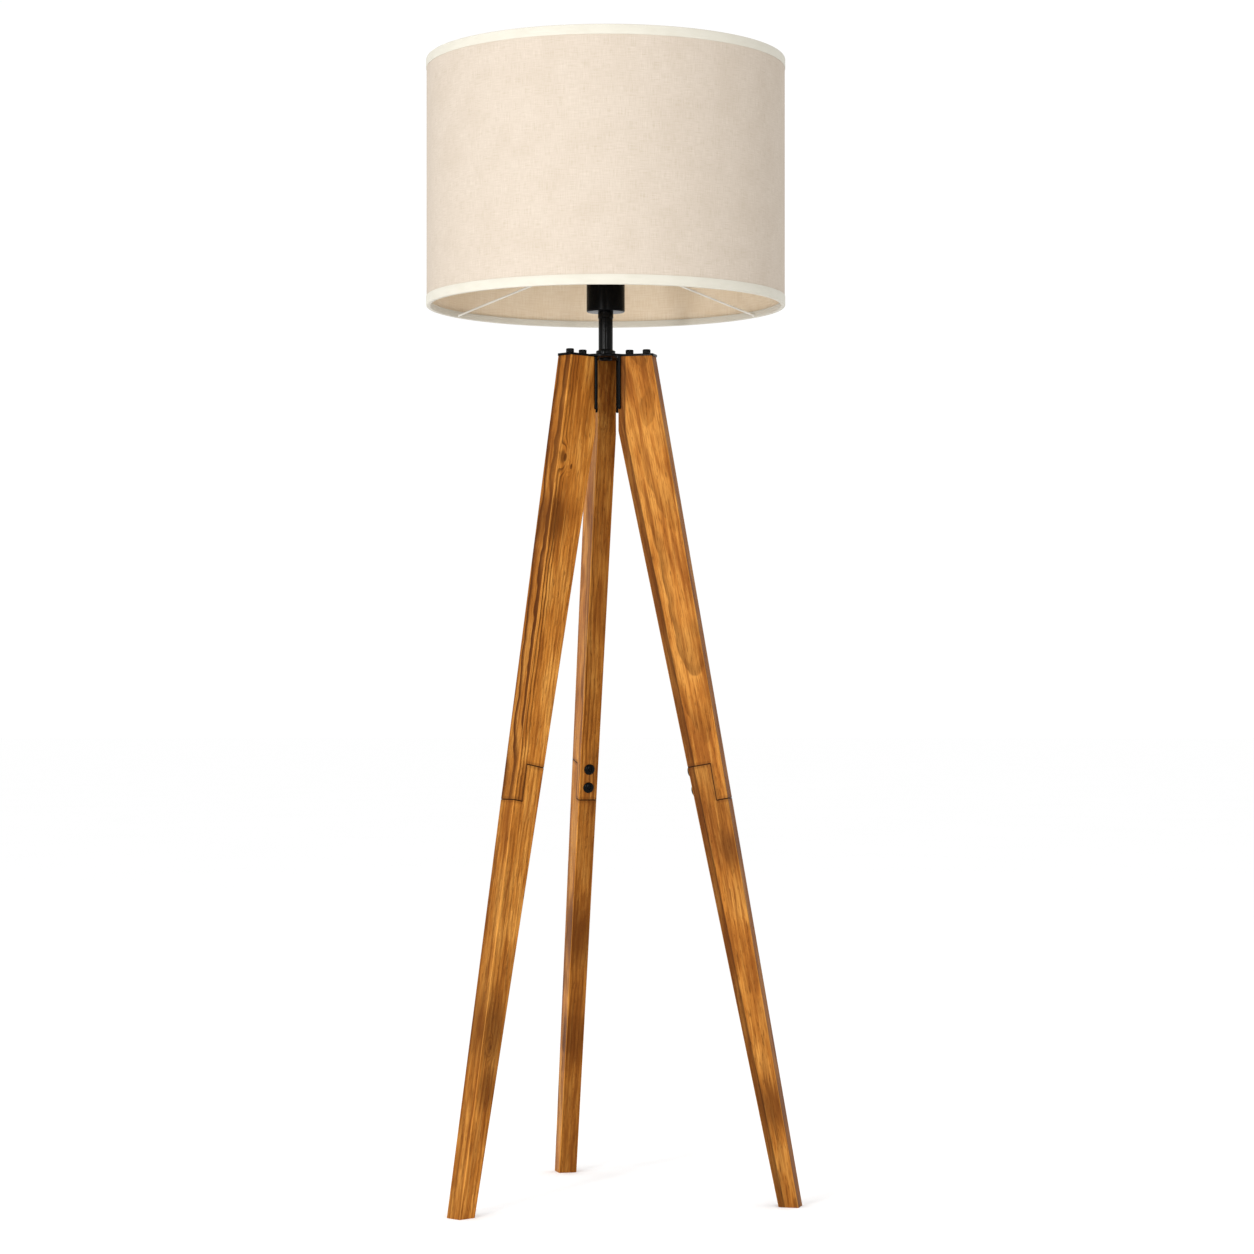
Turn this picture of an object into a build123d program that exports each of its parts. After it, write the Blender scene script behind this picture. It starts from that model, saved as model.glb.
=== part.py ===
from build123d import *
import os
from math import atan2, cos, radians, sin, tan

# Tripod floor lamp: three tapered plank legs under a three-armed steel bracket, a short steel
# stem, a screw lampholder and a fabric drum shade on a wire carrier.
# Millimetres, +Z up. The origin is on the floor, under the stem's axis.

os.makedirs("parts", exist_ok=True)

# ---- Clearances shared by the pieces that fit together ----
press_gap = 0.05            # an insert in its hole, or a bush in its bore, on each side
thread_gap = 0.05           # a plain shank in the plain bore that stands for its thread, each side
bolt_gap = 0.3              # a bolt in a drilled hole, each side
turn_gap = 0.1              # a part that turns on another, each side
loose_gap = 0.5             # the shade's carrier ring round the lampholder, each side
shoulder_gap = 0.6          # the open line at each shoulder of a leg's lap
face_gap = 0.3              # between faces that lie close without a fit

# ---- Legs ----
leg_azimuths = {"left": 210.0, "right": 330.0, "back": 90.0}
leg_height = 1053.0
leg_thickness = 24.0
leg_offset = 7.5            # how far each leg's middle plane passes the axis, on its clockwise side
leg_top_outer = 64.5        # distance of the outer edge from the axis, at the top
leg_foot_outer = 251.0
leg_foot_inner = 225.5
leg_inner_edge = 21.4       # distance of the upright part of the inner edge from the axis
leg_upright = 93.0          # height of that upright part
leg_edge_radius = 1.6

# ---- Lap that joins a leg's upper and lower planks ----
lap_height = 526.0          # middle of the lap, on the outer edge
lap_length = 46.0
lap_thin = 14.5             # the thin tongue
lap_thick = 29.0            # the thick tongue
lap_screw_spacing = 24.0
lap_screw_shank = 5.0
lap_screw_length = 39.0
lap_head_radius = 7.0
lap_head_height = 3.6
lap_head_round = 2.9
lap_socket_flats = 3.5
lap_socket_depth = 2.2
lap_insert_radius = 4.0
lap_insert_length = 10.5

# ---- Top bracket and its bolts ----
bracket_thickness = 3.0
bracket_overhang = 1.5      # of the plate past the leg's outer edge
bracket_hub_radius = 33.5
bracket_corner = 2.5
bolt_radii = (33.0, 55.0)   # distance of the two bolts from the axis, along the leg
bolt_shank = 6.0
bolt_length = 19.0
bolt_head_radius = 5.0
bolt_head_height = 6.0
bolt_head_round = 0.7
bolt_socket_flats = 5.0
bolt_socket_depth = 3.0
bolt_insert_radius = 4.5
bolt_insert_length = 13.0
guide_pin_radius = 1.8
guide_pin_length = 66.0
guide_pin_round = 1.5
guide_pin_inset = 1.0       # from the leg's upright inner edge to the pin's axis

# ---- Stem ----
stem_radius = 9.0
stem_wall = 1.5
stem_tube_length = 47.0
stem_flange_radius = 12.2
stem_flange_height = 6.5
stem_flange_round = 0.9
stem_collar_radius = 9.7
stem_collar_height = 8.0
stem_spigot_length = 12.0
nipple_radius = 5.0
nipple_bore = 3.5
nipple_rise = 12.5          # above the lampholder cover's floor
cord_hole_radius = 6.0
cord_bush_flange = 8.0
cord_bush_lip = 2.5
cord_bush_round = 1.25
cord_bush_bore = 3.6

# ---- Lampholder ----
cover_radius = 24.0
cover_wall = 1.2
cover_floor = 1.5
cover_height = 47.0
washer_radius = 8.5
washer_thickness = 0.8
nut_flats = 14.0
nut_thickness = 4.0
terminal_radius = 17.0
terminal_height = 12.0
terminal_screw_radius = 1.75
terminal_screw_depth = 7.2
terminal_head_radius = 3.15
terminal_screw_circle = 11.0
core_skirt = 18.0           # of the core down inside the cover
core_collar_height = 16.0   # the core's full-width band, which the shade's carrier rests on
barrel_radius = 19.5        # the threaded barrel that the retaining ring screws down
barrel_height = 22.0
socket_depth = 36.0
shell_wall = 0.6
shell_height = 21.0
contact_radius = 4.5
contact_height = 2.0
contact_width = 6.0

# ---- Bulb ----
bulb_base_radius = 13.2
bulb_base_height = 23.0
bulb_base_round = 3.6
bulb_tip_radius = 4.0
bulb_tip_height = 4.0
bulb_tip_round = 1.6
bulb_globe_radius = 30.0
bulb_globe_rise = 54.0      # from the top of the base to the middle of the globe
bulb_shoulder = -38.0       # angle on the globe, below level, where its neck begins
bulb_neck_radius = 13.4
bulb_glass = 1.0

# ---- Shade ----
shade_radius = 225.0
shade_height = 309.0
shade_bottom = 1117.5
trim_thickness = 0.6
trim_width = 12.0
fabric_thickness = 0.5
backing_thickness = 0.7
wire_radius = 1.5
weld_bite = 1.0             # how far a carrier arm's end runs into each ring it is welded to
carrier_overhang = 2.5      # of the carrier ring past the lampholder's collar
carrier_thickness = 2.0
carrier_azimuths = (15.0, 135.0, 255.0)
retaining_radius = 23.0
retaining_height = 7.0

# ---- Heights and radii that follow from the values above ----
bracket_top = leg_height + bracket_thickness
collar_bottom = bracket_top + stem_tube_length
cover_bottom = collar_bottom + stem_collar_height
cover_floor_top = cover_bottom + cover_floor
cover_inner = cover_radius - cover_wall
core_bottom = cover_bottom + cover_height - core_skirt
collar_seat = cover_bottom + cover_height
carrier_seat = collar_seat + core_collar_height
barrel_top = carrier_seat + barrel_height
socket_floor = barrel_top - socket_depth
shell_inner = bulb_base_radius + turn_gap + thread_gap
shell_outer = shell_inner + shell_wall
shell_bottom = socket_floor + contact_height + bulb_tip_height
bulb_tip_bottom = socket_floor + contact_height
bulb_base_bottom = bulb_tip_bottom + bulb_tip_height
bulb_base_top = bulb_base_bottom + bulb_base_height
bulb_centre = bulb_base_top + bulb_globe_rise
shade_top = shade_bottom + shade_height
fabric_outer = shade_radius - trim_thickness
backing_outer = fabric_outer - fabric_thickness
backing_inner = backing_outer - backing_thickness
wire_ring_radius = backing_inner - wire_radius - press_gap
trim_inner = wire_ring_radius - wire_radius - press_gap
carrier_inner = barrel_radius + loose_gap
carrier_outer = cover_radius + carrier_overhang

# The leg's outline leans outwards, less on the outer edge than on the inner one.
outer_lean = atan2(leg_foot_outer - leg_top_outer, leg_height)
inner_lean = atan2(leg_foot_inner - leg_inner_edge, leg_height - leg_upright)
lap_middle = (leg_height - lap_height) / cos(outer_lean)
lap_start = lap_middle - lap_length / 2
lap_end = lap_middle + lap_length / 2


def leg_plane(azimuth):
    """The middle plane of a leg: local x is the distance from the axis, local y the height."""
    turn = radians(azimuth)
    normal = (sin(turn), -cos(turn), 0)
    origin = (leg_offset * normal[0], leg_offset * normal[1], 0)
    return Plane(origin=origin, x_dir=(cos(turn), sin(turn), 0), z_dir=normal)


def from_outer_edge(along, depth):
    """A point of a leg's outline, from the distance down its outer edge and the depth inwards."""
    x = leg_top_outer + along * sin(outer_lean) - depth * cos(outer_lean)
    y = leg_height - along * cos(outer_lean) - depth * sin(outer_lean)
    return x, y


def lap_region(upper, thin_outside):
    """The part of a leg's outline that its upper or lower plank takes, past the outline's edges."""
    tongue = lap_thin if thin_outside else lap_thick
    outer_end, inner_end = (lap_end, lap_start) if thin_outside else (lap_start, lap_end)
    gap = 0 if upper else shoulder_gap
    far = -leg_height if upper else 2 * leg_height
    corners = (
        (far, -leg_height),
        (outer_end + gap, -leg_height),
        (outer_end + gap, tongue),
        (inner_end + gap, tongue),
        (inner_end + gap, leg_height),
        (far, leg_height),
    )
    return [from_outer_edge(along, depth) for along, depth in corners]


def lap_screw_places(azimuth, thin_outside):
    """Planes on a leg's inner face, looking out of the wood, and the depth of the tongues' joint."""
    tongue = lap_thin if thin_outside else lap_thick
    plane = leg_plane(azimuth)
    places = []
    for step in (-0.5, 0.5):
        height = lap_height - lap_thin * sin(outer_lean) + step * lap_screw_spacing * cos(inner_lean)
        x = leg_foot_inner - height * tan(inner_lean)
        depth = ((leg_top_outer - x) * cos(outer_lean) + (leg_height - height) * sin(outer_lean))
        joint = (depth - tongue) / cos(inner_lean - outer_lean)
        start = plane.from_local_coords((x, height, 0))
        tip = plane.from_local_coords((x - cos(inner_lean), height - sin(inner_lean), 0))
        places.append((Plane(origin=start, z_dir=tip - start), joint))
    return places


def bolt_places(height):
    """The bolts' centres on the leg tops, at a height."""
    return [
        leg_plane(azimuth).from_local_coords((radius, height, 0))
        for azimuth in leg_azimuths.values()
        for radius in bolt_radii
    ]


def make_plank(azimuth, upper, thin_outside):
    """One half of a leg, with its rounded edges, its lap and its drilled holes."""
    plane = leg_plane(azimuth)
    outline = [
        (leg_top_outer, leg_height),
        (leg_foot_outer, 0),
        (leg_foot_inner, 0),
        (leg_inner_edge, leg_height - leg_upright),
        (leg_inner_edge, leg_height),
    ]
    with BuildPart() as plank:
        with BuildSketch(plane):
            with BuildLine():
                Polyline(*outline, close=True)
            make_face()
        extrude(amount=leg_thickness / 2, both=True)
        long_edges = plank.edges().filter_by(lambda edge: edge.length > leg_upright / 2)
        fillet(long_edges, radius=leg_edge_radius)
        with BuildSketch(plane):
            with BuildLine():
                Polyline(*lap_region(upper, thin_outside), close=True)
            make_face()
        extrude(amount=leg_thickness, both=True, mode=Mode.INTERSECT)
        down = (Align.CENTER, Align.CENTER, Align.MAX)
        for place, joint in lap_screw_places(azimuth, thin_outside):
            seat = place.offset(-joint)
            with Locations(place.location):
                Cylinder(
                    lap_screw_shank / 2 + bolt_gap, lap_screw_length + 1, align=down, mode=Mode.SUBTRACT
                )
            with Locations(seat.location):
                Cylinder(
                    lap_insert_radius + press_gap, lap_insert_length + face_gap, align=down,
                    mode=Mode.SUBTRACT,
                )
        if upper:
            tops = [plane.from_local_coords((radius, leg_height, 0)) for radius in bolt_radii]
            with Locations(*tops):
                Cylinder(
                    bolt_insert_radius + press_gap, bolt_insert_length + face_gap, align=down,
                    mode=Mode.SUBTRACT,
                )
                Cylinder(bolt_shank / 2 + bolt_gap, bolt_length + 1, align=down, mode=Mode.SUBTRACT)
    return plank


def on_globe(angle):
    """A point of the bulb's globe outline, at an angle in degrees above level."""
    turn = radians(angle)
    return bulb_globe_radius * cos(turn), bulb_centre + bulb_globe_radius * sin(turn)


pieces = {}

# ---- Six planks. The back leg's thin tongue is on its inner side, the others' on the outer. ----
for side, azimuth in leg_azimuths.items():
    thin_outside = side != "back"
    pieces[f"leg_{side}_upper"] = make_plank(azimuth, True, thin_outside)
    pieces[f"leg_{side}_lower"] = make_plank(azimuth, False, thin_outside)

# ---- Lap screws with domed heads, and the threaded inserts they pull against ----
screw_places = []
insert_places = []
for side, azimuth in leg_azimuths.items():
    for place, joint in lap_screw_places(azimuth, side != "back"):
        screw_places.append(place.location)
        insert_places.append(place.offset(-joint - face_gap / 2).location)

with BuildPart() as lap_screw:
    Cylinder(lap_screw_shank / 2, lap_screw_length, align=(Align.CENTER, Align.CENTER, Align.MAX))
    Cylinder(lap_head_radius, lap_head_height, align=(Align.CENTER, Align.CENTER, Align.MIN))
    rim = lap_screw.edges().filter_by(GeomType.CIRCLE).group_by(Axis.Z)[-1]
    fillet(rim, radius=lap_head_round)
    with BuildSketch(Plane.XY.offset(lap_head_height)):
        RegularPolygon(radius=lap_socket_flats / 2, side_count=6, major_radius=False)
    extrude(amount=-lap_socket_depth, mode=Mode.SUBTRACT)

with BuildPart() as leg_lap_screws:
    with Locations(*screw_places):
        add(lap_screw.part)
pieces["leg_lap_screws"] = leg_lap_screws

with BuildPart() as lap_insert:
    Cylinder(lap_insert_radius, lap_insert_length, align=(Align.CENTER, Align.CENTER, Align.MAX))
    Cylinder(
        lap_screw_shank / 2 + thread_gap, lap_insert_length,
        align=(Align.CENTER, Align.CENTER, Align.MAX), mode=Mode.SUBTRACT,
    )

with BuildPart() as leg_lap_inserts:
    with Locations(*insert_places):
        add(lap_insert.part)
pieces["leg_lap_inserts"] = leg_lap_inserts

# ---- Top bracket: a flat plate with three arms, one along each leg's top ----
arm_length = leg_top_outer + bracket_overhang
with BuildPart() as top_bracket:
    with BuildSketch(Plane.XY.offset(leg_height)) as plate:
        Circle(bracket_hub_radius)
        for azimuth in leg_azimuths.values():
            middle = leg_plane(azimuth).from_local_coords((arm_length / 2, 0, 0))
            with Locations(Location((middle.X, middle.Y, 0), (0, 0, azimuth))):
                Rectangle(arm_length, leg_thickness)
        ends = [point for point in plate.vertices() if Vector(point).length > arm_length]
        fillet(ends, radius=bracket_corner)
        with Locations(*[(point.X, point.Y) for point in bolt_places(0)]):
            Circle(bolt_shank / 2 + bolt_gap, mode=Mode.SUBTRACT)
        Circle(cord_hole_radius, mode=Mode.SUBTRACT)
    extrude(amount=bracket_thickness)
pieces["top_bracket"] = top_bracket

# ---- Guide pins welded under the plate, one on each side of each leg's inner edge ----
pin_reach = leg_thickness / 2 + face_gap + guide_pin_radius
pin_points = []
for azimuth in leg_azimuths.values():
    for reach in (-pin_reach, pin_reach):
        place = (leg_inner_edge + guide_pin_inset, leg_height, reach)
        pin_points.append(leg_plane(azimuth).from_local_coords(place))

with BuildPart() as bracket_guide_pins:
    with Locations(*pin_points):
        Cylinder(
            guide_pin_radius, guide_pin_length, align=(Align.CENTER, Align.CENTER, Align.MAX)
        )
    lower_rims = bracket_guide_pins.edges().filter_by(GeomType.CIRCLE).group_by(Axis.Z)[0]
    fillet(lower_rims, radius=guide_pin_round)
pieces["bracket_guide_pins"] = bracket_guide_pins

# ---- Leg bolts with hexagon sockets, and their inserts in the leg tops ----
with BuildPart() as leg_top_bolts:
    with Locations(*bolt_places(bracket_top)):
        Cylinder(bolt_shank / 2, bolt_length, align=(Align.CENTER, Align.CENTER, Align.MAX))
        Cylinder(bolt_head_radius, bolt_head_height, align=(Align.CENTER, Align.CENTER, Align.MIN))
    head_rims = leg_top_bolts.edges().filter_by(GeomType.CIRCLE).group_by(Axis.Z)[-1]
    fillet(head_rims, radius=bolt_head_round)
    with BuildSketch(Plane.XY.offset(bracket_top + bolt_head_height)):
        with Locations(*[(point.X, point.Y) for point in bolt_places(0)]):
            RegularPolygon(radius=bolt_socket_flats / 2, side_count=6, major_radius=False)
    extrude(amount=-bolt_socket_depth, mode=Mode.SUBTRACT)
pieces["leg_top_bolts"] = leg_top_bolts

with BuildPart() as leg_top_inserts:
    with Locations(*bolt_places(leg_height - face_gap / 2)):
        Cylinder(
            bolt_insert_radius, bolt_insert_length, align=(Align.CENTER, Align.CENTER, Align.MAX)
        )
        Cylinder(
            bolt_shank / 2 + thread_gap, bolt_insert_length,
            align=(Align.CENTER, Align.CENTER, Align.MAX), mode=Mode.SUBTRACT,
        )
pieces["leg_top_inserts"] = leg_top_inserts

# ---- Stem: a welded foot ring, the tube and a threaded top collar ----
with BuildPart() as stem_flange:
    with BuildSketch(Plane.XY.offset(bracket_top)):
        Circle(stem_flange_radius)
        Circle(stem_radius + press_gap, mode=Mode.SUBTRACT)
    extrude(amount=stem_flange_height)
    upper_rims = stem_flange.edges().filter_by(GeomType.CIRCLE).group_by(Axis.Z)[-1]
    fillet(upper_rims.sort_by(SortBy.RADIUS)[-1], radius=stem_flange_round)
pieces["stem_flange"] = stem_flange

with BuildPart() as stem_tube:
    with BuildSketch(Plane.XY.offset(bracket_top)):
        Circle(stem_radius)
        Circle(stem_radius - stem_wall, mode=Mode.SUBTRACT)
    extrude(amount=stem_tube_length)
pieces["stem_tube"] = stem_tube

spigot_radius = stem_radius - stem_wall - press_gap
with BuildPart() as stem_collar:
    with BuildSketch(Plane.XY.offset(collar_bottom - stem_spigot_length)):
        Circle(spigot_radius)
    extrude(amount=stem_spigot_length)
    with BuildSketch(Plane.XY.offset(collar_bottom)):
        Circle(stem_collar_radius)
    extrude(amount=stem_collar_height)
    with BuildSketch(Plane.XY.offset(collar_bottom - stem_spigot_length)):
        Circle(nipple_radius + thread_gap)
    extrude(amount=stem_spigot_length + stem_collar_height, mode=Mode.SUBTRACT)
pieces["stem_collar"] = stem_collar

with BuildPart() as threaded_nipple:
    with BuildSketch(Plane.XY.offset(collar_bottom - stem_spigot_length)):
        Circle(nipple_radius)
        Circle(nipple_bore, mode=Mode.SUBTRACT)
    extrude(amount=cover_floor_top + nipple_rise - collar_bottom + stem_spigot_length)
pieces["threaded_nipple"] = threaded_nipple

# ---- Cord outlet: a bush in the plate's middle hole ----
with BuildPart() as cord_outlet_bush:
    with BuildSketch(Plane.XY.offset(leg_height - cord_bush_lip)):
        Circle(cord_bush_flange)
    extrude(amount=cord_bush_lip)
    lower_rim = cord_outlet_bush.edges().filter_by(GeomType.CIRCLE).group_by(Axis.Z)[0]
    fillet(lower_rim, radius=cord_bush_round)
    with BuildSketch(Plane.XY.offset(leg_height)):
        Circle(cord_hole_radius - press_gap)
    extrude(amount=bracket_thickness + cord_bush_lip)
    with BuildSketch(Plane.XY.offset(leg_height - cord_bush_lip)):
        Circle(cord_bush_bore)
    extrude(amount=bracket_thickness + 2 * cord_bush_lip, mode=Mode.SUBTRACT)
pieces["cord_outlet_bush"] = cord_outlet_bush

# ---- Lampholder: cover, nipple washer and nut, terminals, core, screw shell and contact ----
with BuildPart() as lampholder_cover:
    with BuildSketch(Plane.XY.offset(cover_bottom)):
        Circle(cover_radius)
    extrude(amount=cover_height)
    lower_rim = lampholder_cover.edges().filter_by(GeomType.CIRCLE).group_by(Axis.Z)[0]
    fillet(lower_rim, radius=cover_wall)
    with BuildSketch(Plane.XY.offset(cover_floor_top)):
        Circle(cover_inner)
    extrude(amount=cover_height, mode=Mode.SUBTRACT)
    with BuildSketch(Plane.XY.offset(cover_bottom)):
        Circle(nipple_radius + turn_gap)
    extrude(amount=cover_floor, mode=Mode.SUBTRACT)
pieces["lampholder_cover"] = lampholder_cover

with BuildPart() as nipple_washer:
    with BuildSketch(Plane.XY.offset(cover_floor_top)):
        Circle(washer_radius)
        Circle(nipple_radius + turn_gap, mode=Mode.SUBTRACT)
    extrude(amount=washer_thickness)
pieces["nipple_washer"] = nipple_washer

with BuildPart() as nipple_nut:
    with BuildSketch(Plane.XY.offset(cover_floor_top + washer_thickness)):
        RegularPolygon(radius=nut_flats / 2, side_count=6, major_radius=False)
        Circle(nipple_radius + thread_gap, mode=Mode.SUBTRACT)
    extrude(amount=nut_thickness)
pieces["nipple_nut"] = nipple_nut

terminal_bottom = core_bottom - terminal_height
with BuildPart() as terminal_block:
    with BuildSketch(Plane.XY.offset(terminal_bottom)):
        Circle(terminal_radius)
        with PolarLocations(terminal_screw_circle, 3):
            Circle(terminal_screw_radius + thread_gap, mode=Mode.SUBTRACT)
        Circle(nipple_radius, mode=Mode.SUBTRACT)
    extrude(amount=terminal_height)
pieces["terminal_block"] = terminal_block

with BuildPart() as terminal_screws:
    with BuildSketch(Plane.XY.offset(terminal_bottom)):
        with PolarLocations(terminal_screw_circle, 3):
            Circle(terminal_screw_radius)
    extrude(amount=terminal_screw_depth)
    with BuildSketch(Plane.XY.offset(terminal_bottom)):
        with PolarLocations(terminal_screw_circle, 3):
            Circle(terminal_head_radius)
    extrude(amount=-terminal_screw_radius)
pieces["terminal_screws"] = terminal_screws

with BuildPart() as lampholder_core:
    with BuildSketch(Plane.XY.offset(core_bottom)):
        Circle(cover_inner - press_gap)
    extrude(amount=core_skirt)
    with BuildSketch(Plane.XY.offset(collar_seat)):
        Circle(cover_radius)
    extrude(amount=core_collar_height)
    with BuildSketch(Plane.XY.offset(carrier_seat)):
        Circle(barrel_radius)
    extrude(amount=barrel_height)
    with BuildSketch(Plane.XY.offset(socket_floor)):
        Circle(shell_outer + press_gap)
    extrude(amount=socket_depth, mode=Mode.SUBTRACT)
pieces["lampholder_core"] = lampholder_core

with BuildPart() as screw_shell:
    with BuildSketch(Plane.XY.offset(shell_bottom)):
        Circle(shell_outer)
        Circle(shell_inner, mode=Mode.SUBTRACT)
    extrude(amount=shell_height)
pieces["screw_shell"] = screw_shell

with BuildPart() as centre_contact:
    with BuildSketch(Plane.XY.offset(socket_floor)):
        SlotOverall(2 * contact_radius, contact_width)
    extrude(amount=contact_height)
pieces["centre_contact"] = centre_contact

# ---- Bulb: tip, screw base and a hollow glass globe that narrows into its neck ----
with BuildPart() as bulb_tip:
    with BuildSketch(Plane.XY.offset(bulb_tip_bottom)):
        Circle(bulb_tip_radius)
    extrude(amount=bulb_tip_height)
    lower_rim = bulb_tip.edges().filter_by(GeomType.CIRCLE).group_by(Axis.Z)[0]
    fillet(lower_rim, radius=bulb_tip_round)
pieces["bulb_tip"] = bulb_tip

with BuildPart() as bulb_base:
    with BuildSketch(Plane.XY.offset(bulb_base_bottom)):
        Circle(bulb_base_radius)
    extrude(amount=bulb_base_height)
    lower_rim = bulb_base.edges().filter_by(GeomType.CIRCLE).group_by(Axis.Z)[0]
    fillet(lower_rim, radius=bulb_base_round)
pieces["bulb_base"] = bulb_base

with BuildPart() as bulb_glass_globe:
    with BuildSketch(Plane.XZ):
        with BuildLine():
            crown = on_globe(90)
            shoulder = on_globe(bulb_shoulder)
            ThreePointArc(crown, on_globe(45), on_globe(0))
            ThreePointArc(on_globe(0), on_globe(bulb_shoulder / 2), shoulder)
            turn = radians(bulb_shoulder)
            Spline(
                shoulder, (bulb_neck_radius, bulb_base_top),
                tangents=[(sin(turn), -cos(turn)), (0, -1)],
            )
            Line((bulb_neck_radius, bulb_base_top), (0, bulb_base_top))
            Line((0, bulb_base_top), crown)
        make_face()
    revolve(axis=Axis.Z)
    floor_face = bulb_glass_globe.faces().filter_by(GeomType.PLANE).sort_by(Axis.Z)[0]
    offset(amount=-bulb_glass, openings=floor_face)
pieces["bulb_globe"] = bulb_glass_globe

# ---- Shade: backing, fabric, wire rings, folded trims and the wire carrier ----
wall_bottom = shade_bottom + trim_thickness + press_gap
wall_height = shade_height - 2 * (trim_thickness + press_gap)
with BuildPart() as shade_backing:
    with BuildSketch(Plane.XY.offset(wall_bottom)):
        Circle(backing_outer)
        Circle(backing_inner, mode=Mode.SUBTRACT)
    extrude(amount=wall_height)
pieces["shade_backing"] = shade_backing

with BuildPart() as shade_fabric:
    with BuildSketch(Plane.XY.offset(wall_bottom)):
        Circle(fabric_outer)
        Circle(backing_outer, mode=Mode.SUBTRACT)
    extrude(amount=wall_height)
pieces["shade_fabric"] = shade_fabric

ring_heights = {
    "bottom": wall_bottom + wire_radius,
    "top": wall_bottom + wall_height - wire_radius,
}
for end, ring_height in ring_heights.items():
    with BuildPart() as wire_ring:
        with BuildSketch(Plane.XZ):
            with Locations((wire_ring_radius, ring_height)):
                Circle(wire_radius)
        revolve(axis=Axis.Z)
    pieces[f"shade_{end}_ring"] = wire_ring

# Each carrier arm runs from the middle ring down to the bottom wire ring, and is welded at both.
arm_inner = Vector(carrier_outer - weld_bite, 0, carrier_seat + carrier_thickness / 2)
arm_outer = Vector(wire_ring_radius - wire_radius + weld_bite, 0, ring_heights["bottom"])
arm_run = arm_outer - arm_inner
arm_planes = [
    Plane(
        origin=arm_inner.rotate(Axis.Z, azimuth), z_dir=arm_run.rotate(Axis.Z, azimuth)
    )
    for azimuth in carrier_azimuths
]

for end, sign in (("bottom", 1), ("top", -1)):
    edge = shade_bottom if end == "bottom" else shade_top
    with BuildPart() as trim:
        with BuildSketch(Plane.XZ):
            with BuildLine():
                Polyline(
                    (shade_radius, edge),
                    (shade_radius, edge + sign * trim_width),
                    (fabric_outer, edge + sign * trim_width),
                    (fabric_outer, edge + sign * trim_thickness),
                    (trim_inner, edge + sign * trim_thickness),
                    (trim_inner, edge + sign * trim_width),
                    (trim_inner - trim_thickness, edge + sign * trim_width),
                    (trim_inner - trim_thickness, edge),
                    close=True,
                )
            make_face()
        revolve(axis=Axis.Z)
        if end == "bottom":
            for plane in arm_planes:
                with BuildSketch(plane):
                    Circle(wire_radius + face_gap)
                extrude(amount=arm_run.length, mode=Mode.SUBTRACT)
    pieces[f"shade_{end}_trim"] = trim

with BuildPart() as carrier_ring:
    with BuildSketch(Plane.XY.offset(carrier_seat)):
        Circle(carrier_outer)
        Circle(carrier_inner, mode=Mode.SUBTRACT)
    extrude(amount=carrier_thickness)
pieces["shade_carrier_ring"] = carrier_ring

with BuildPart() as carrier_arms:
    for plane in arm_planes:
        with BuildSketch(plane):
            Circle(wire_radius)
        extrude(amount=arm_run.length)
pieces["shade_carrier_arms"] = carrier_arms

with BuildPart() as retaining_ring:
    with BuildSketch(Plane.XY.offset(carrier_seat + carrier_thickness)):
        Circle(retaining_radius)
        Circle(barrel_radius + turn_gap, mode=Mode.SUBTRACT)
    extrude(amount=retaining_height)
pieces["shade_retaining_ring"] = retaining_ring

for name, piece in pieces.items():
    piece.part.label = name
    export_step(piece.part, f"parts/{name}.step")
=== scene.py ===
"""Tripod floor lamp: the visible pieces, their finishes and a plain studio.

The frame gives every fixed part. The shade's cloth, lining, bindings and wires, the lampholder's
turned parts, the bulb, the bracket and every screw head are modelled here in place of their plain
parts, and each part gets a finish of its own. Lengths are in metres.
"""

import logging
import math
from dataclasses import dataclass
from enum import Enum
from typing import Callable, Iterable, Optional, Sequence, Union

import bpy
from mathutils import Matrix, Vector


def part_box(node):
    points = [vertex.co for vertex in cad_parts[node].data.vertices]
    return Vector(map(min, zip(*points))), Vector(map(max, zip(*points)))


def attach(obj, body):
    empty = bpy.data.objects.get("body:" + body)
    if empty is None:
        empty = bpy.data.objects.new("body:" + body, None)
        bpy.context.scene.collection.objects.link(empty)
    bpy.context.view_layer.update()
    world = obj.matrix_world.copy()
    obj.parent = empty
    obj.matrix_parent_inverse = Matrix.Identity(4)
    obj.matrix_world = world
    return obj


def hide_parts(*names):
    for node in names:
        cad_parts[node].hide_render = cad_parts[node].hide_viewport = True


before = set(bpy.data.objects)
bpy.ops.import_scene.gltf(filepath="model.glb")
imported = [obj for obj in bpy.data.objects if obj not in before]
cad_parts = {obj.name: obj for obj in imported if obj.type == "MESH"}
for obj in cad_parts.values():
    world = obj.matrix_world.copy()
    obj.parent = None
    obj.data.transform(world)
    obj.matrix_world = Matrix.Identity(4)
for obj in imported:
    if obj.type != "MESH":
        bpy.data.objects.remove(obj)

log = logging.getLogger("tripod_lamp")

Colour = tuple[float, float, float]
Outline = Sequence[tuple[float, float]]
MM = 0.001


def tint(red: int, green: int, blue: int) -> Colour:
    """Turn a colour as a screen shows it into linear light.

    Args:
        red: Red from 0 to 255.
        green: Green from 0 to 255.
        blue: Blue from 0 to 255.

    Returns:
        The three linear shares, from 0 to 1.
    """
    shares = (red / 255, green / 255, blue / 255)
    return tuple(s / 12.92 if s <= 0.04045 else ((s + 0.055) / 1.055) ** 2.4 for s in shares)


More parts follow.
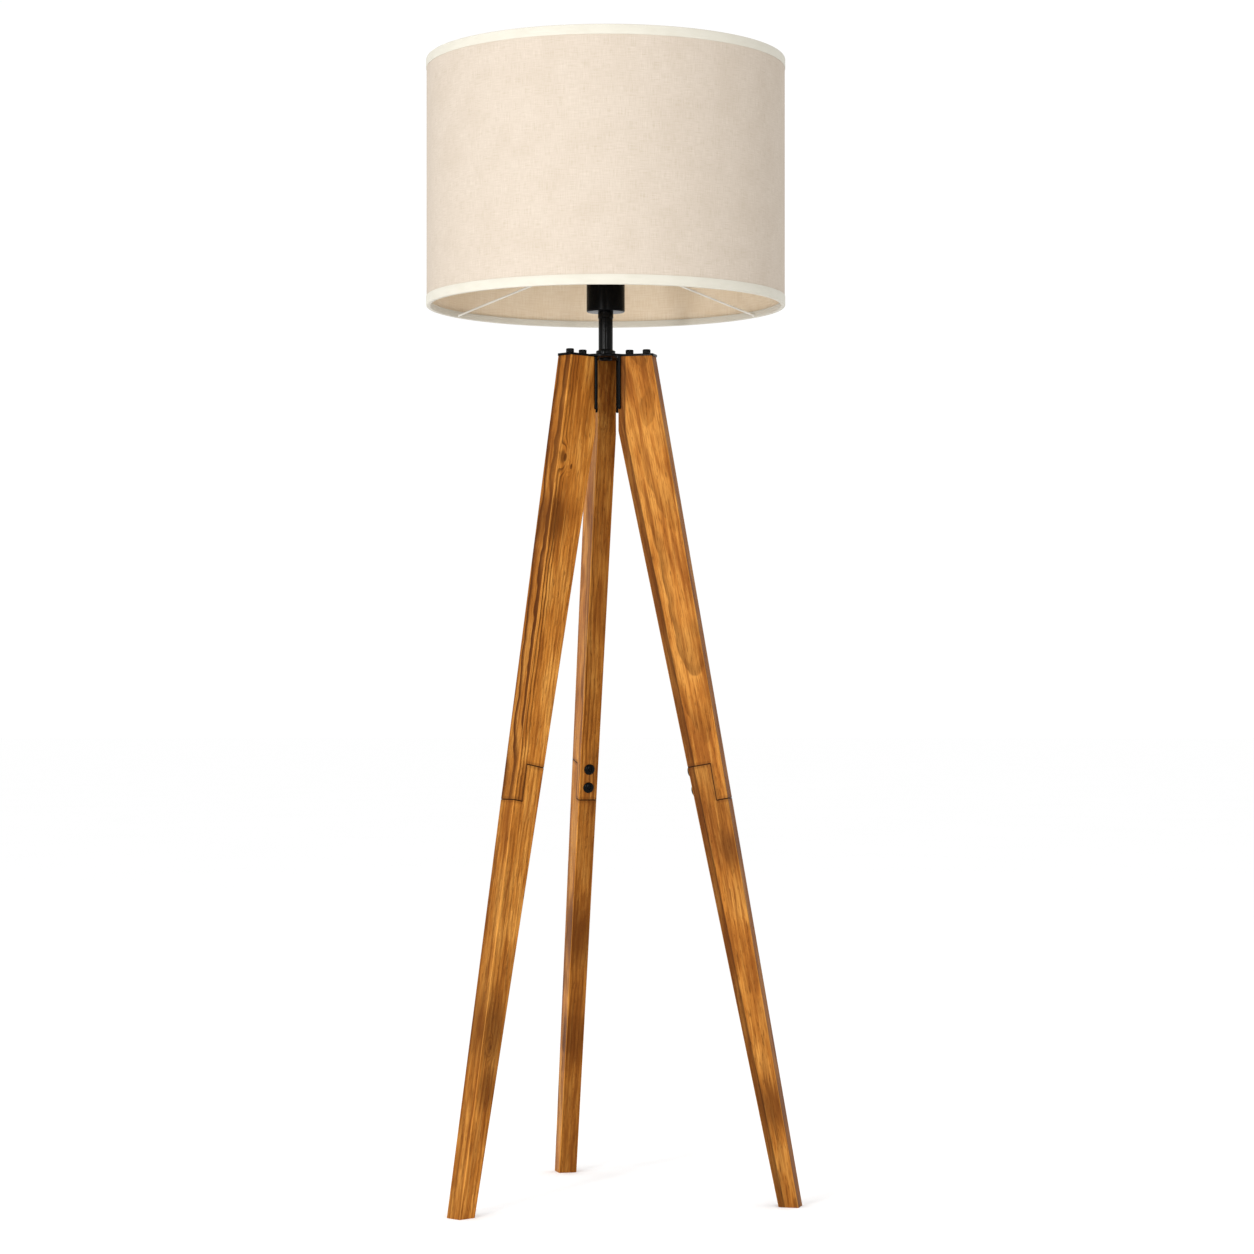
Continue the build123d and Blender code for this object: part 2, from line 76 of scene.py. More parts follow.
class Value:
    """A number that varies over a surface, so that shader maths reads as plain arithmetic."""

    def __init__(self, shader: "Shader", socket: bpy.types.NodeSocket) -> None:
        """Wrap an output socket of a shader's node."""
        self.shader = shader
        self.socket = socket

    def _math(self, operation: str, *others: "Number", reflected: bool = False) -> "Value":
        """Add a Math node.

        Args:
            operation: The Math node's operation.
            others: The values after this one.
            reflected: True puts this value last, as in 1 - value.

        Returns:
            The node's result.
        """
        values = [*others, self] if reflected else [self, *others]
        node = self.shader.add("ShaderNodeMath", {"operation": operation}, dict(enumerate(values)))
        return Value(self.shader, node.outputs[0])

    def __add__(self, other: "Number") -> "Value":
        """Add."""
        return self._math("ADD", other)

    def __sub__(self, other: "Number") -> "Value":
        """Take away."""
        return self._math("SUBTRACT", other)

    def __mul__(self, other: "Number") -> "Value":
        """Multiply."""
        return self._math("MULTIPLY", other)

    def __truediv__(self, other: "Number") -> "Value":
        """Divide."""
        return self._math("DIVIDE", other)

    def __rsub__(self, other: "Number") -> "Value":
        """Take this value away from a number."""
        return self._math("SUBTRACT", other, reflected=True)

    __radd__ = __add__
    __rmul__ = __mul__

    def __abs__(self) -> "Value":
        """The size without the sign."""
        return self._math("ABSOLUTE")

    def fraction(self) -> "Value":
        """The part after the whole number."""
        return self._math("FRACT")

    def sine(self) -> "Value":
        """The sine of this value in radians."""
        return self._math("SINE")

    def root(self) -> "Value":
        """The square root."""
        return self._math("SQRT")

    def angle_with(self, other: "Number") -> "Value":
        """The angle whose tangent is this value over the other one."""
        return self._math("ARCTAN2", other)

    def larger(self, other: "Number") -> "Value":
        """The larger of two values."""
        return self._math("MAXIMUM", other)

    def smaller(self, other: "Number") -> "Value":
        """The smaller of two values."""
        return self._math("MINIMUM", other)

    def steps(self, start: float, end: float) -> "Value":
        """Go smoothly from 0 at start to 1 at end.

        Args:
            start: The value that gives 0.
            end: The value that gives 1. It may be the lower one.

        Returns:
            The share, from 0 to 1.
        """
        low, high = min(start, end), max(start, end)
        ends = (0.0, 1.0) if start < end else (1.0, 0.0)
        inputs = {"From Min": low, "From Max": high, "To Min": ends[0], "To Max": ends[1]}
        settings = {"interpolation_type": "SMOOTHSTEP"}
        node = self.shader.add("ShaderNodeMapRange", settings, {"Value": self, **inputs})
        return Value(self.shader, node.outputs[0])

    def near(self, target: float, reach: float) -> "Value":
        """1 at a target value, and 0 where it is further off than the reach."""
        return abs(self - target).steps(reach, reach * 0.35)


Number = Union[Value, float, int]


class Shader:
    """The node tree of one material, from its coordinates to its surface."""

    def __init__(self, name: str) -> None:
        """Make an empty material with a Principled surface.

        Args:
            name: The material's name.
        """
        self.material = bpy.data.materials.new(name)
        self.material.use_nodes = True
        self.tree = self.material.node_tree
        self.tree.nodes.clear()
        output = self.tree.nodes.new("ShaderNodeOutputMaterial")
        self.surface = self.tree.nodes.new("ShaderNodeBsdfPrincipled")
        self.tree.links.new(self.surface.outputs[0], output.inputs[0])
        self.coordinates = self.tree.nodes.new("ShaderNodeTexCoord").outputs["Object"]

    def add(self, kind: str, settings: Optional[dict] = None,
            inputs: Optional[dict] = None) -> bpy.types.Node:
        """Add a node.

        Args:
            kind: The node's type.
            settings: Properties that are set before the sockets.
            inputs: Socket name or number to a number, colour, vector, socket or Value.

        Returns:
            The node.
        """
        node = self.tree.nodes.new(kind)
        for key, value in (settings or {}).items():
            setattr(node, key, value)
        for key, value in (inputs or {}).items():
            self.feed(node.inputs[key], value)
        return node

    def feed(self, socket: bpy.types.NodeSocket, value: object) -> None:
        """Link or set one socket.

        Args:
            socket: The input socket.
            value: A Value, a socket, a number, a colour or a vector.
        """
        if isinstance(value, Value):
            self.tree.links.new(value.socket, socket)
        elif isinstance(value, bpy.types.NodeSocket):
            self.tree.links.new(value, socket)
        elif isinstance(value, tuple) and socket.type == "RGBA":
            socket.default_value = (*value, 1.0)
        else:
            socket.default_value = value

    def placed(self, matrix: Matrix) -> bpy.types.NodeSocket:
        """Object coordinates turned and moved into a piece's own directions.

        Args:
            matrix: Turns and moves a place into those directions.

        Returns:
            The place in those directions.
        """
        inputs = {
            "Vector": self.coordinates,
            "Location": matrix.to_translation(),
            "Rotation": matrix.to_euler("XYZ"),
        }
        return self.add("ShaderNodeMapping", {"vector_type": "POINT"}, inputs).outputs[0]

    def scaled(self, vector: bpy.types.NodeSocket, scale: Sequence[float]) -> bpy.types.NodeSocket:
        """A vector with each part multiplied."""
        inputs = {0: vector, 1: tuple(scale)}
        return self.add("ShaderNodeVectorMath", {"operation": "MULTIPLY"}, inputs).outputs[0]

    def shifted(self, vector: bpy.types.NodeSocket, by: object) -> bpy.types.NodeSocket:
        """A vector with another one added."""
        return self.add("ShaderNodeVectorMath", {"operation": "ADD"}, {0: vector, 1: by}).outputs[0]

    def split(self, vector: bpy.types.NodeSocket) -> tuple[Value, Value, Value]:
        """The three parts of a vector."""
        x, y, z = self.add("ShaderNodeSeparateXYZ", None, {0: vector}).outputs
        return Value(self, x), Value(self, y), Value(self, z)

    def joined(self, x: Number, y: Number, z: Number) -> bpy.types.NodeSocket:
        """A vector from its three parts."""
        return self.add("ShaderNodeCombineXYZ", None, {0: x, 1: y, 2: z}).outputs[0]

    def unrolled(self, radius: float) -> tuple[Value, Value, bpy.types.NodeSocket]:
        """Lay the wall of an upright drum out flat.

        Args:
            radius: The drum's radius.

        Returns:
            Distance round the drum, height, and the two as a vector.
        """
        x, y, height = self.split(self.coordinates)
        around = y.angle_with(x) * radius
        return around, height, self.joined(around, height, 0.0)

    def noise(self, vector: bpy.types.NodeSocket, scale: float, detail: float = 2.0,
              roughness: float = 0.5) -> bpy.types.Node:
        """Soft noise: the node's first output is a number, and its second a colour."""
        inputs = {"Vector": vector, "Scale": scale, "Detail": detail, "Roughness": roughness}
        return self.add("ShaderNodeTexNoise", {"noise_dimensions": "3D"}, inputs)

    def cloud(self, vector: bpy.types.NodeSocket, scale: Sequence[float],
              detail: float = 2.0) -> Value:
        """Soft noise from 0 to 1, drawn out by a scale for each direction."""
        return Value(self, self.noise(self.scaled(vector, scale), 1.0, detail).outputs[0])

    def push(self, vector: bpy.types.NodeSocket, scale: Sequence[float],
             reach: Sequence[float]) -> bpy.types.NodeSocket:
        """A soft push to each side, with a scale and a reach for each direction."""
        cloud = self.noise(self.scaled(vector, scale), 1.0, 2.0).outputs[1]
        return self.scaled(self.shifted(cloud, (-0.5, -0.5, -0.5)), [2 * r for r in reach])

    def wander(self, vector: bpy.types.NodeSocket, scale: Sequence[float],
               reach: Sequence[float]) -> bpy.types.NodeSocket:
        """A vector that is pushed about softly."""
        return self.shifted(vector, self.push(vector, scale, reach))

    def mixed(self, share: Number, first: object, second: object) -> bpy.types.NodeSocket:
        """Blend two colours.

        Args:
            share: 0 gives the first colour, 1 the second.
            first: A colour or a colour socket.
            second: A colour or a colour socket.

        Returns:
            The blended colour.
        """
        node = self.tree.nodes.new("ShaderNodeMix")
        node.data_type = "RGBA"
        node.clamp_factor = True
        self.feed(node.inputs[0], share)
        self.feed(node.inputs[6], first)
        self.feed(node.inputs[7], second)
        return node.outputs[2]

    def layered(self, ground: object, *layers: tuple[Number, object]) -> bpy.types.NodeSocket:
        """Lay colours over a ground, one after another.

        Args:
            ground: The first colour.
            layers: The share and the colour of each layer.

        Returns:
            The finished colour.
        """
        for share, colour in layers:
            ground = self.mixed(share, ground, colour)
        return ground

    def bumped(self, height: Value, distance: float, strength: float = 1.0) -> bpy.types.NodeSocket:
        """A normal from a height of 0 to 1, where 1 is as deep as the distance."""
        inputs = {"Height": height, "Distance": distance, "Strength": strength}
        return self.add("ShaderNodeBump", None, inputs).outputs[0]

    def dress(self, **sockets: object) -> bpy.types.Material:
        """Feed the surface.

        Args:
            sockets: Socket names, with underscores for spaces, to values.

        Returns:
            The material.
        """
        for name, value in sockets.items():
            self.feed(self.surface.inputs[name.replace("_", " ")], value)
        return self.material


@dataclass(frozen=True)
class Leg:
    """Where one leg stands, and how its outline and its lap lie in it."""

    side: str
    azimuth: float
    thin_outside: bool
    height: float = 1053 * MM
    offset: float = 7.5 * MM
    thickness: float = 24 * MM
    top_outer: float = 64.5 * MM
    foot_outer: float = 251 * MM
    foot_inner: float = 225.5 * MM
    inner_edge: float = 21.4 * MM
    upright: float = 93 * MM
    lap_height: float = 526 * MM
    lap_length: float = 46 * MM
    thin: float = 14.5 * MM
    thick: float = 29 * MM
    screw_spacing: float = 24 * MM

    @property
    def outer_lean(self) -> float:
        """How far the outer edge leans, in radians."""
        return math.atan2(self.foot_outer - self.top_outer, self.height)

    @property
    def inner_lean(self) -> float:
        """How far the inner edge leans below its upright part, in radians."""
        return math.atan2(self.foot_inner - self.inner_edge, self.height - self.upright)

    @property
    def tongue(self) -> float:
        """Depth of the joint between the lap's tongues, from the outer edge."""
        return self.thin if self.thin_outside else self.thick

    @property
    def shoulders(self) -> tuple[float, float]:
        """Distance down the outer edge of the lap's shoulders, the outer one first.

        Returns:
            The outer shoulder's distance and the inner one's.
        """
        middle = (self.height - self.lap_height) / math.cos(self.outer_lean)
        upper, lower = middle - self.lap_length / 2, middle + self.lap_length / 2
        return (lower, upper) if self.thin_outside else (upper, lower)

    def at(self, radius: float, across: float, height: float) -> Vector:
        """A point of the leg.

        Args:
            radius: Distance from the lamp's axis, in the leg's middle plane.
            across: Distance from that plane.
            height: Height above the floor.

        Returns:
            The point.
        """
        turn = math.radians(self.azimuth)
        outwards = Vector((math.cos(turn), math.sin(turn), 0))
        sideways = Vector((math.sin(turn), -math.cos(turn), 0))
        return outwards * radius + sideways * (self.offset + across) + Vector((0, 0, height))

    def plank_directions(self) -> Matrix:
        """The matrix that turns a place into depth from the outer edge, thickness and length.

        Returns:
            The matrix.
        """
        turn = math.radians(self.azimuth)
        lean = self.outer_lean
        depth_start = self.top_outer * math.cos(lean) + self.height * math.sin(lean)
        along_start = self.height * math.cos(lean) - self.top_outer * math.sin(lean)
        cos_lean, sin_lean = math.cos(lean), math.sin(lean)
        cos_turn, sin_turn = math.cos(turn), math.sin(turn)
        return Matrix((
            (-cos_lean * cos_turn, -cos_lean * sin_turn, -sin_lean, depth_start),
            (-sin_turn, cos_turn, 0, self.offset),
            (sin_lean * cos_turn, sin_lean * sin_turn, -cos_lean, along_start),
            (0, 0, 0, 1),
        ))

    def in_plank(self, radius: float, height: float) -> Vector:
        """Depth, thickness and length of a point in the leg's plane."""
        turn = Matrix.Rotation(math.radians(self.azimuth), 4, "Z")
        return self.plank_directions() @ (turn @ Vector((radius, 0, height)))

    def inner_ends(self) -> tuple[Vector, Vector]:
        """The inner edge's foot and its knee, in the plank's directions."""
        knee = self.in_plank(self.inner_edge, self.height - self.upright)
        return self.in_plank(self.foot_inner, 0), knee

    def width(self, along: float) -> float:
        """The leg's width at a distance down its outer edge."""
        foot, knee = self.inner_ends()
        return foot.x + (along - foot.z) * (knee.x - foot.x) / (knee.z - foot.z)

    def from_inner_edge(self, depth: Value, along: Value) -> Value:
        """Distance from the leg's inner edge.

        Args:
            depth: Depth from the outer edge.
            along: Distance down the outer edge.

        Returns:
            The distance, which is 0 on the inner face.
        """
        foot, knee = self.inner_ends()
        length = math.hypot(knee.x - foot.x, knee.z - foot.z)
        run, fall = (knee.x - foot.x) / length, (knee.z - foot.z) / length
        lower = (depth - foot.x) * fall - (along - foot.z) * run
        lean = self.outer_lean
        upper = along * math.sin(lean) - depth * math.cos(lean) + (self.top_outer - self.inner_edge)
        return lower.smaller(upper)


@dataclass(frozen=True)
class Mark:
    """A knot or a dark blot on a plank."""

    depth: float
    along: float
    radius: float

    def away(self, depth: Value, along: Value, press: float) -> Value:
        """Distance from its middle, with the plank's length pressed together."""
        side, length = depth - self.depth, (along - self.along) * press
        return (side * side + length * length).root()


@dataclass(frozen=True)
class Cut:
    """How one plank was sawn from its log, in the plank's own directions.

    The pith is the middle of the log's rings. Its place is given at the leg's top end, and the
    slopes carry it across further down. The tones darken the whole plank or one of its edge faces.
    """

    seed: float
    pith_depth: float
    pith_across: float
    slope_depth: float = 0.0
    slope_across: float = 0.0
    bold: float = 0.3
    bold_depth: float = 0.0
    tone: float = 0.0
    outer_stain_and_shade: float = 0.0
    inner_stain_and_shade: float = 0.5
    inner_shade_band: float = 0.0
    knots: tuple[Mark, ...] = ()
    blots: tuple[Mark, ...] = ()


@dataclass(frozen=True)
class StainedPine:
    """Pine planks with a honey-brown stain, darker latewood lines, clouds and small knots."""

    honey: Colour = tint(182, 115, 43)
    pale: Colour = tint(214, 150, 70)
    deep: Colour = tint(132, 74, 22)
    latewood: Colour = tint(76, 38, 8)
    line: Colour = tint(36, 16, 4)
    ring_pitch: float = 5.0 * MM
    edge_round: float = 1.6 * MM
    lap_line: float = 1.1 * MM
    lap_gap: float = 0.6 * MM
    skin: float = 0.4 * MM

    def material(self, name: str, leg: Leg, cut: Cut) -> bpy.types.Material:
        """Make the wood of one plank.

        Args:
            name: The material's name.
            leg: The leg that the plank is in.
            cut: How the plank was sawn.

        Returns:
            The material.
        """
        s = Shader(name)
        place = s.placed(leg.plank_directions())
        depth, across, along = s.split(place)
        inner = leg.from_inner_edge(depth, along)
        seeded = s.shifted(place, (0.31 * cut.seed, 0.17 * cut.seed, 1.3 * cut.seed))

        late, core = self._rings(s, cut, place, seeded)
        zone = s.cloud(seeded, (22.0, 22.0, 4.0)).steps(0.4, 0.66)
        bold = zone * cut.bold + 0.2
        if cut.bold_depth:
            shallow = depth.steps(cut.bold_depth, cut.bold_depth * 0.5)
            bold = bold.larger(shallow * (zone * 0.3 + 0.7))
        fibres = s.cloud(seeded, (900.0, 900.0, 36.0), 3.0)
        dashes = s.cloud(seeded, (800.0, 800.0, 90.0), 1.0).steps(0.6, 0.72)
        bent = s.wander(seeded, (30.0, 30.0, 9.0), (4 * MM, 4 * MM, 0))
        streaks = s.cloud(bent, (260.0, 260.0, 10.0), 4.0)
        clouds = s.cloud(bent, (46.0, 46.0, 13.0), 4.0)
        patches = s.cloud(seeded, (12.0, 12.0, 4.0), 2.0)

        # Painted shade, partly stain: the outer and inner edge faces and whole planks are darkened
        # towards latewood brown, for how the light falls on each face and leg.
        outer_face_shade = depth.steps(self.skin, self.skin / 4) * cut.outer_stain_and_shade
        inner_face_shade = inner.steps(self.skin, self.skin / 4) * cut.inner_stain_and_shade
        colour = s.layered(
            self.honey,
            (clouds.steps(0.52, 0.32) * 0.8, self.pale),
            (clouds.steps(0.48, 0.68) * 0.8, self.deep),
            (streaks.steps(0.5, 0.36) * 0.45, self.pale),
            (streaks.steps(0.5, 0.68) * 0.75, self.deep),
            (fibres.steps(0.45, 0.62) * 0.5, self.deep),
            (patches.steps(0.5, 0.72) * 0.3, self.latewood),
            (late * bold, self.latewood),
            (dashes * 0.5, self.latewood),
            (core, self.latewood),
            (outer_face_shade.larger(inner_face_shade).larger(cut.tone), self.latewood),
        )
        # Painted shade: a dark band and a dark line along each wide face's inner edge, where the
        # shaded inner face shows.
        if cut.inner_shade_band:
            edge = inner + s.cloud(seeded, (3.0, 3.0, 9.0)) * (1.2 * MM)
            dark = edge.steps(cut.inner_shade_band, cut.inner_shade_band - 0.8 * MM) * (fibres * 0.3 + 0.58)
            rim = edge.near(cut.inner_shade_band, 1.2 * MM) * 0.6
            colour = s.layered(colour, (dark, self.latewood), (rim, self.line))
        lap, halo = self._lap_lines(leg, depth, along)
        colour = s.layered(
            colour,
            # Painted highlight: a pale line along the rounded long edges.
            (self._arris_highlight(leg, depth, across, inner) * 0.35, self.pale),
            (halo * 0.35, self.latewood),
            (lap * 0.9, self.line),
        )
        relief = late * bold * -0.5 + fibres * 0.5 + streaks * 0.4 - dashes * 0.3 - lap * 0.5
        return s.dress(
            Base_Color=colour,
            Roughness=fibres * 0.14 + late * 0.06 + 0.38,
            Normal=s.bumped(relief, 0.35 * MM, 0.7),
            Specular_IOR_Level=0.04,
        )

    def _rings(self, s: Shader, cut: Cut, place: bpy.types.NodeSocket,
               seeded: bpy.types.NodeSocket) -> tuple[Value, Value]:
        """Draw the growth rings and the knots that bend them.

        Args:
            s: The shader.
            cut: How the plank was sawn.
            place: Place in the plank.
            seeded: The same place, moved to the plank's own stretch of noise.

        Returns:
            The latewood lines, and the knots and dark clouds, each from 0 to 1.
        """
        sway = s.push(seeded, (5.0, 5.0, 4.2), (7 * MM, 9 * MM, 0.0))
        ripple = s.push(seeded, (30.0, 30.0, 20.0), (2.8 * MM, 2.8 * MM, 0.0))
        x, y, z = s.split(s.shifted(s.shifted(place, sway), ripple))
        off_x = x - cut.pith_depth - z * cut.slope_depth
        off_y = y - cut.pith_across - z * cut.slope_across
        rings = (off_x * off_x + off_y * off_y).root() / self.ring_pitch
        core = x * 0.0
        for knot in cut.knots:
            away = knot.away(x, z, 0.45)
            rings = rings + away.steps(knot.radius * 5, knot.radius * 0.8) * 2.2
            core = core.larger(away.steps(knot.radius * 1.15, knot.radius * 0.7) * 0.85)
        for blot in cut.blots:
            away = blot.away(x, z, 0.5)
            core = core.larger(away.steps(blot.radius * 1.2, blot.radius * 0.2) * 0.6)
        wave = rings.fraction()
        return wave.steps(0.35, 0.88) * wave.steps(1.0, 0.93), core

    def _arris_highlight(self, leg: Leg, depth: Value, across: Value, inner: Value) -> Value:
        """Mark the rounded long edges, where the stain is thin.

        Args:
            leg: The leg.
            depth: Depth from the outer edge.
            across: Distance from the middle plane.
            inner: Distance from the inner edge.

        Returns:
            The mark, from 0 to 1.
        """
        face, soft = leg.thickness / 2, self.edge_round
        beside = abs(across).steps(face - soft * 0.75, face - soft * 0.25)
        return beside * depth.smaller(inner).steps(soft * 0.75, soft * 0.3)

    def _lap_lines(self, leg: Leg, depth: Value, along: Value) -> tuple[Value, Value]:
        """Mark the lap's joint lines, where dark stain gathers.

        Args:
            leg: The leg.
            depth: Depth from the outer edge.
            along: Distance down the outer edge.

        Returns:
            The lines and a soft halo round them, each from 0 to 1.
        """
        outer_shoulder, inner_shoulder = leg.shoulders
        first, last = sorted(leg.shoulders)
        outside = depth.steps(leg.tongue + 0.5 * MM, leg.tongue - 0.1 * MM)
        between = along.steps(first - self.lap_gap, first) * along.steps(last + self.lap_gap, last)
        marks = []
        for reach in (self.lap_line, self.lap_line * 5):
            outer = along.near(outer_shoulder + self.lap_gap / 2, reach) * outside
            inner = along.near(inner_shoulder + self.lap_gap / 2, reach) * (1 - outside)
            joint = depth.near(leg.tongue, reach * 0.75) * between
            marks.append(outer.larger(inner).larger(joint))
        return marks[0], marks[1]


@dataclass(frozen=True)
class Linen:
    """Plain woven linen laid round a drum, with thick and thin threads both ways."""

    thread: Colour = tint(187, 175, 161)
    shadow: Colour = tint(171, 157, 140)
    light: Colour = tint(199, 188, 175)
    radius: float = 0.2244
    thread_pitch: float = 0.7 * MM

    def material(self, name: str) -> bpy.types.Material:
        """Make the cloth, with its threads running round the drum and up it.

        Args:
            name: The material's name.

        Returns:
            The material.
        """
        s = Shader(name)
        around, height, laid = s.unrolled(self.radius)
        turn = 2 * math.pi / self.thread_pitch
        warp = (around * turn + height * 40.0).sine() * 0.5 + 0.5
        weft = (height * turn).sine() * 0.5 + 0.5
        across = s.cloud(laid, (70.0, 1150.0, 1.0), 2.0)
        upwards = s.cloud(s.shifted(laid, (3.0, 5.0, 2.0)), (1150.0, 70.0, 1.0), 2.0)
        fine = s.cloud(laid, (1500.0, 1500.0, 1.0), 1.0)
        broad = s.cloud(laid, (26.0, 26.0, 1.0), 3.0)
        slub = across * 0.5 + upwards * 0.5
        colour = s.layered(
            self.thread,
            (slub.steps(0.5, 0.66) * 0.6, self.light),
            (slub.steps(0.5, 0.36) * 0.55 + fine.steps(0.5, 0.25) * 0.25, self.shadow),
            (broad.steps(0.62, 0.3) * 0.22, self.shadow),
        )
        relief = warp * weft * 0.5 + across * 0.6 + upwards * 0.6 + fine * 0.3
        return s.dress(
            Base_Color=colour,
            Roughness=fine * 0.08 + 0.84,
            Normal=s.bumped(relief, 0.14 * MM, 0.6),
            Sheen_Weight=0.03,
            Sheen_Roughness=0.5,
            Specular_IOR_Level=0.1,
        )


@dataclass(frozen=True)
class Tape:
    """Cotton twill tape that binds a shade's edge."""

    cotton: Colour = tint(197, 193, 181)
    hollow: Colour = tint(183, 178, 163)
    radius: float = 0.225
    rib_pitch: float = 0.8 * MM

    def material(self, name: str) -> bpy.types.Material:
        """Make the tape, with ribs that lean across it.

        Args:
            name: The material's name.

        Returns:
            The material.
        """
        s = Shader(name)
        around, height, laid = s.unrolled(self.radius)
        ribs = ((around + height * 0.8) * (2 * math.pi / self.rib_pitch)).sine() * 0.5 + 0.5
        soft = s.cloud(laid, (40.0, 90.0, 1.0), 2.0)
        fine = s.cloud(laid, (1100.0, 1100.0, 1.0), 2.0)
        colour = s.mixed(soft.steps(0.7, 0.2) * 0.3 + fine * 0.15, self.cotton, self.hollow)
        return s.dress(
            Base_Color=colour,
            Roughness=fine * 0.08 + 0.82,
            Normal=s.bumped(ribs * 0.5 + soft * 0.5 + fine * 0.3, 0.12 * MM, 0.5),
            Sheen_Weight=0.1,
            Specular_IOR_Level=0.2,
        )


@dataclass(frozen=True)
class Film:
    """The shade's translucent backing film, with the cloth's threads showing through it."""

    warm: Colour = tint(221, 206, 183)
    thread: Colour = tint(204, 182, 150)
    radius: float = 0.2232

    def material(self, name: str) -> bpy.types.Material:
        """Make the film.

        Args:
            name: The material's name.

        Returns:
            The material.
        """
        s = Shader(name)
        laid = s.unrolled(self.radius)[2]
        across = s.cloud(laid, (50.0, 800.0, 1.0), 3.0)
        upwards = s.cloud(s.shifted(laid, (1.0, 2.0, 3.0)), (800.0, 50.0, 1.0), 3.0)
        broad = s.cloud(laid, (20.0, 20.0, 1.0), 3.0)
        weave = across * 0.5 + upwards * 0.5
        colour = s.layered(
            self.warm,
            (weave.steps(0.38, 0.64) * 0.6, self.thread),
            (broad.steps(0.62, 0.34) * 0.3, self.thread),
        )
        return s.dress(
            Base_Color=colour,
            Roughness=across * 0.1 + 0.5,
            Normal=s.bumped(weave, 0.05 * MM, 0.5),
        )


@dataclass(frozen=True)
class Coating:
    """A painted, moulded or plated surface: one colour with fine unevenness in shade and gloss."""

    colour: Colour
    second: Colour
    roughness: float
    spread: float = 0.08
    metallic: float = 0.0
    specular: float = 0.5
    grain: float = 900.0
    depth: float = 0.02 * MM
    drawn: float = 1.0

    def material(self, name: str) -> bpy.types.Material:
        """Make the coating.

        Args:
            name: The material's name.

        Returns:
            The material.
        """
        s = Shader(name)
        fine = s.cloud(s.coordinates, (self.grain, self.grain, self.grain * self.drawn), 2.0)
        broad = s.cloud(s.coordinates, (34.0, 34.0, 34.0), 3.0)
        return s.dress(
            Base_Color=s.mixed(broad.steps(0.35, 0.7) * 0.7 + fine * 0.3, self.colour, self.second),
            Roughness=(broad + fine) * self.spread + (self.roughness - self.spread),
            Normal=s.bumped(fine, self.depth, 0.5),
            Metallic=self.metallic,
            Specular_IOR_Level=self.specular,
        )


@dataclass(frozen=True)
class FrostedGlass:
    """A bulb's white frosted glass."""

    white: Colour = tint(246, 245, 240)
    grey: Colour = tint(230, 229, 224)

    def material(self, name: str) -> bpy.types.Material:
        """Make the glass.

        Args:
            name: The material's name.

        Returns:
            The material.
        """
        s = Shader(name)
        cloud = s.cloud(s.coordinates, (60.0, 60.0, 60.0))
        return s.dress(
            Base_Color=s.mixed(cloud.steps(0.3, 0.7) * 0.5, self.white, self.grey),
            Roughness=cloud * 0.08 + 0.22,
            Normal=s.bumped(s.cloud(s.coordinates, (1400.0, 1400.0, 1400.0), 1.0), 0.02 * MM, 0.4),
            Coat_Weight=0.3,
        )


POWDER_COAT = Coating(tint(3, 3, 3), tint(5, 5, 5), 0.24, 0.04, specular=0.05)
STEM_ENAMEL = Coating(tint(3, 3, 3), tint(6, 6, 6), 0.15, 0.03, specular=0.09, depth=0.004 * MM)
BLACK_OXIDE = Coating(tint(4, 4, 4), tint(8, 7, 7), 0.2, 0.04, specular=0.07)
BLACK_PLASTIC = Coating(tint(5, 5, 5), tint(9, 9, 9), 0.4, 0.07, specular=0.07)
DARK_GLUE = Coating(tint(44, 22, 8), tint(62, 32, 12), 0.7, specular=0.05)
BRASS = Coating(tint(196, 158, 88), tint(170, 130, 66), 0.3, metallic=1.0, drawn=30.0)
ZINC = Coating(tint(188, 190, 194), tint(160, 163, 168), 0.32, metallic=1.0, drawn=30.0)
CAP_METAL = Coating(tint(205, 206, 210), tint(182, 184, 188), 0.26, 0.06, metallic=1.0, drawn=30.0)
PORCELAIN = Coating(tint(232, 229, 220), tint(214, 210, 198), 0.5, 0.06)
WHITE_ENAMEL = Coating(tint(214, 211, 203), tint(194, 190, 181), 0.38, 0.06)


class Ends(Enum):
    """How a turned outline is closed."""

    DISCS = "discs"
    LOOP = "loop"


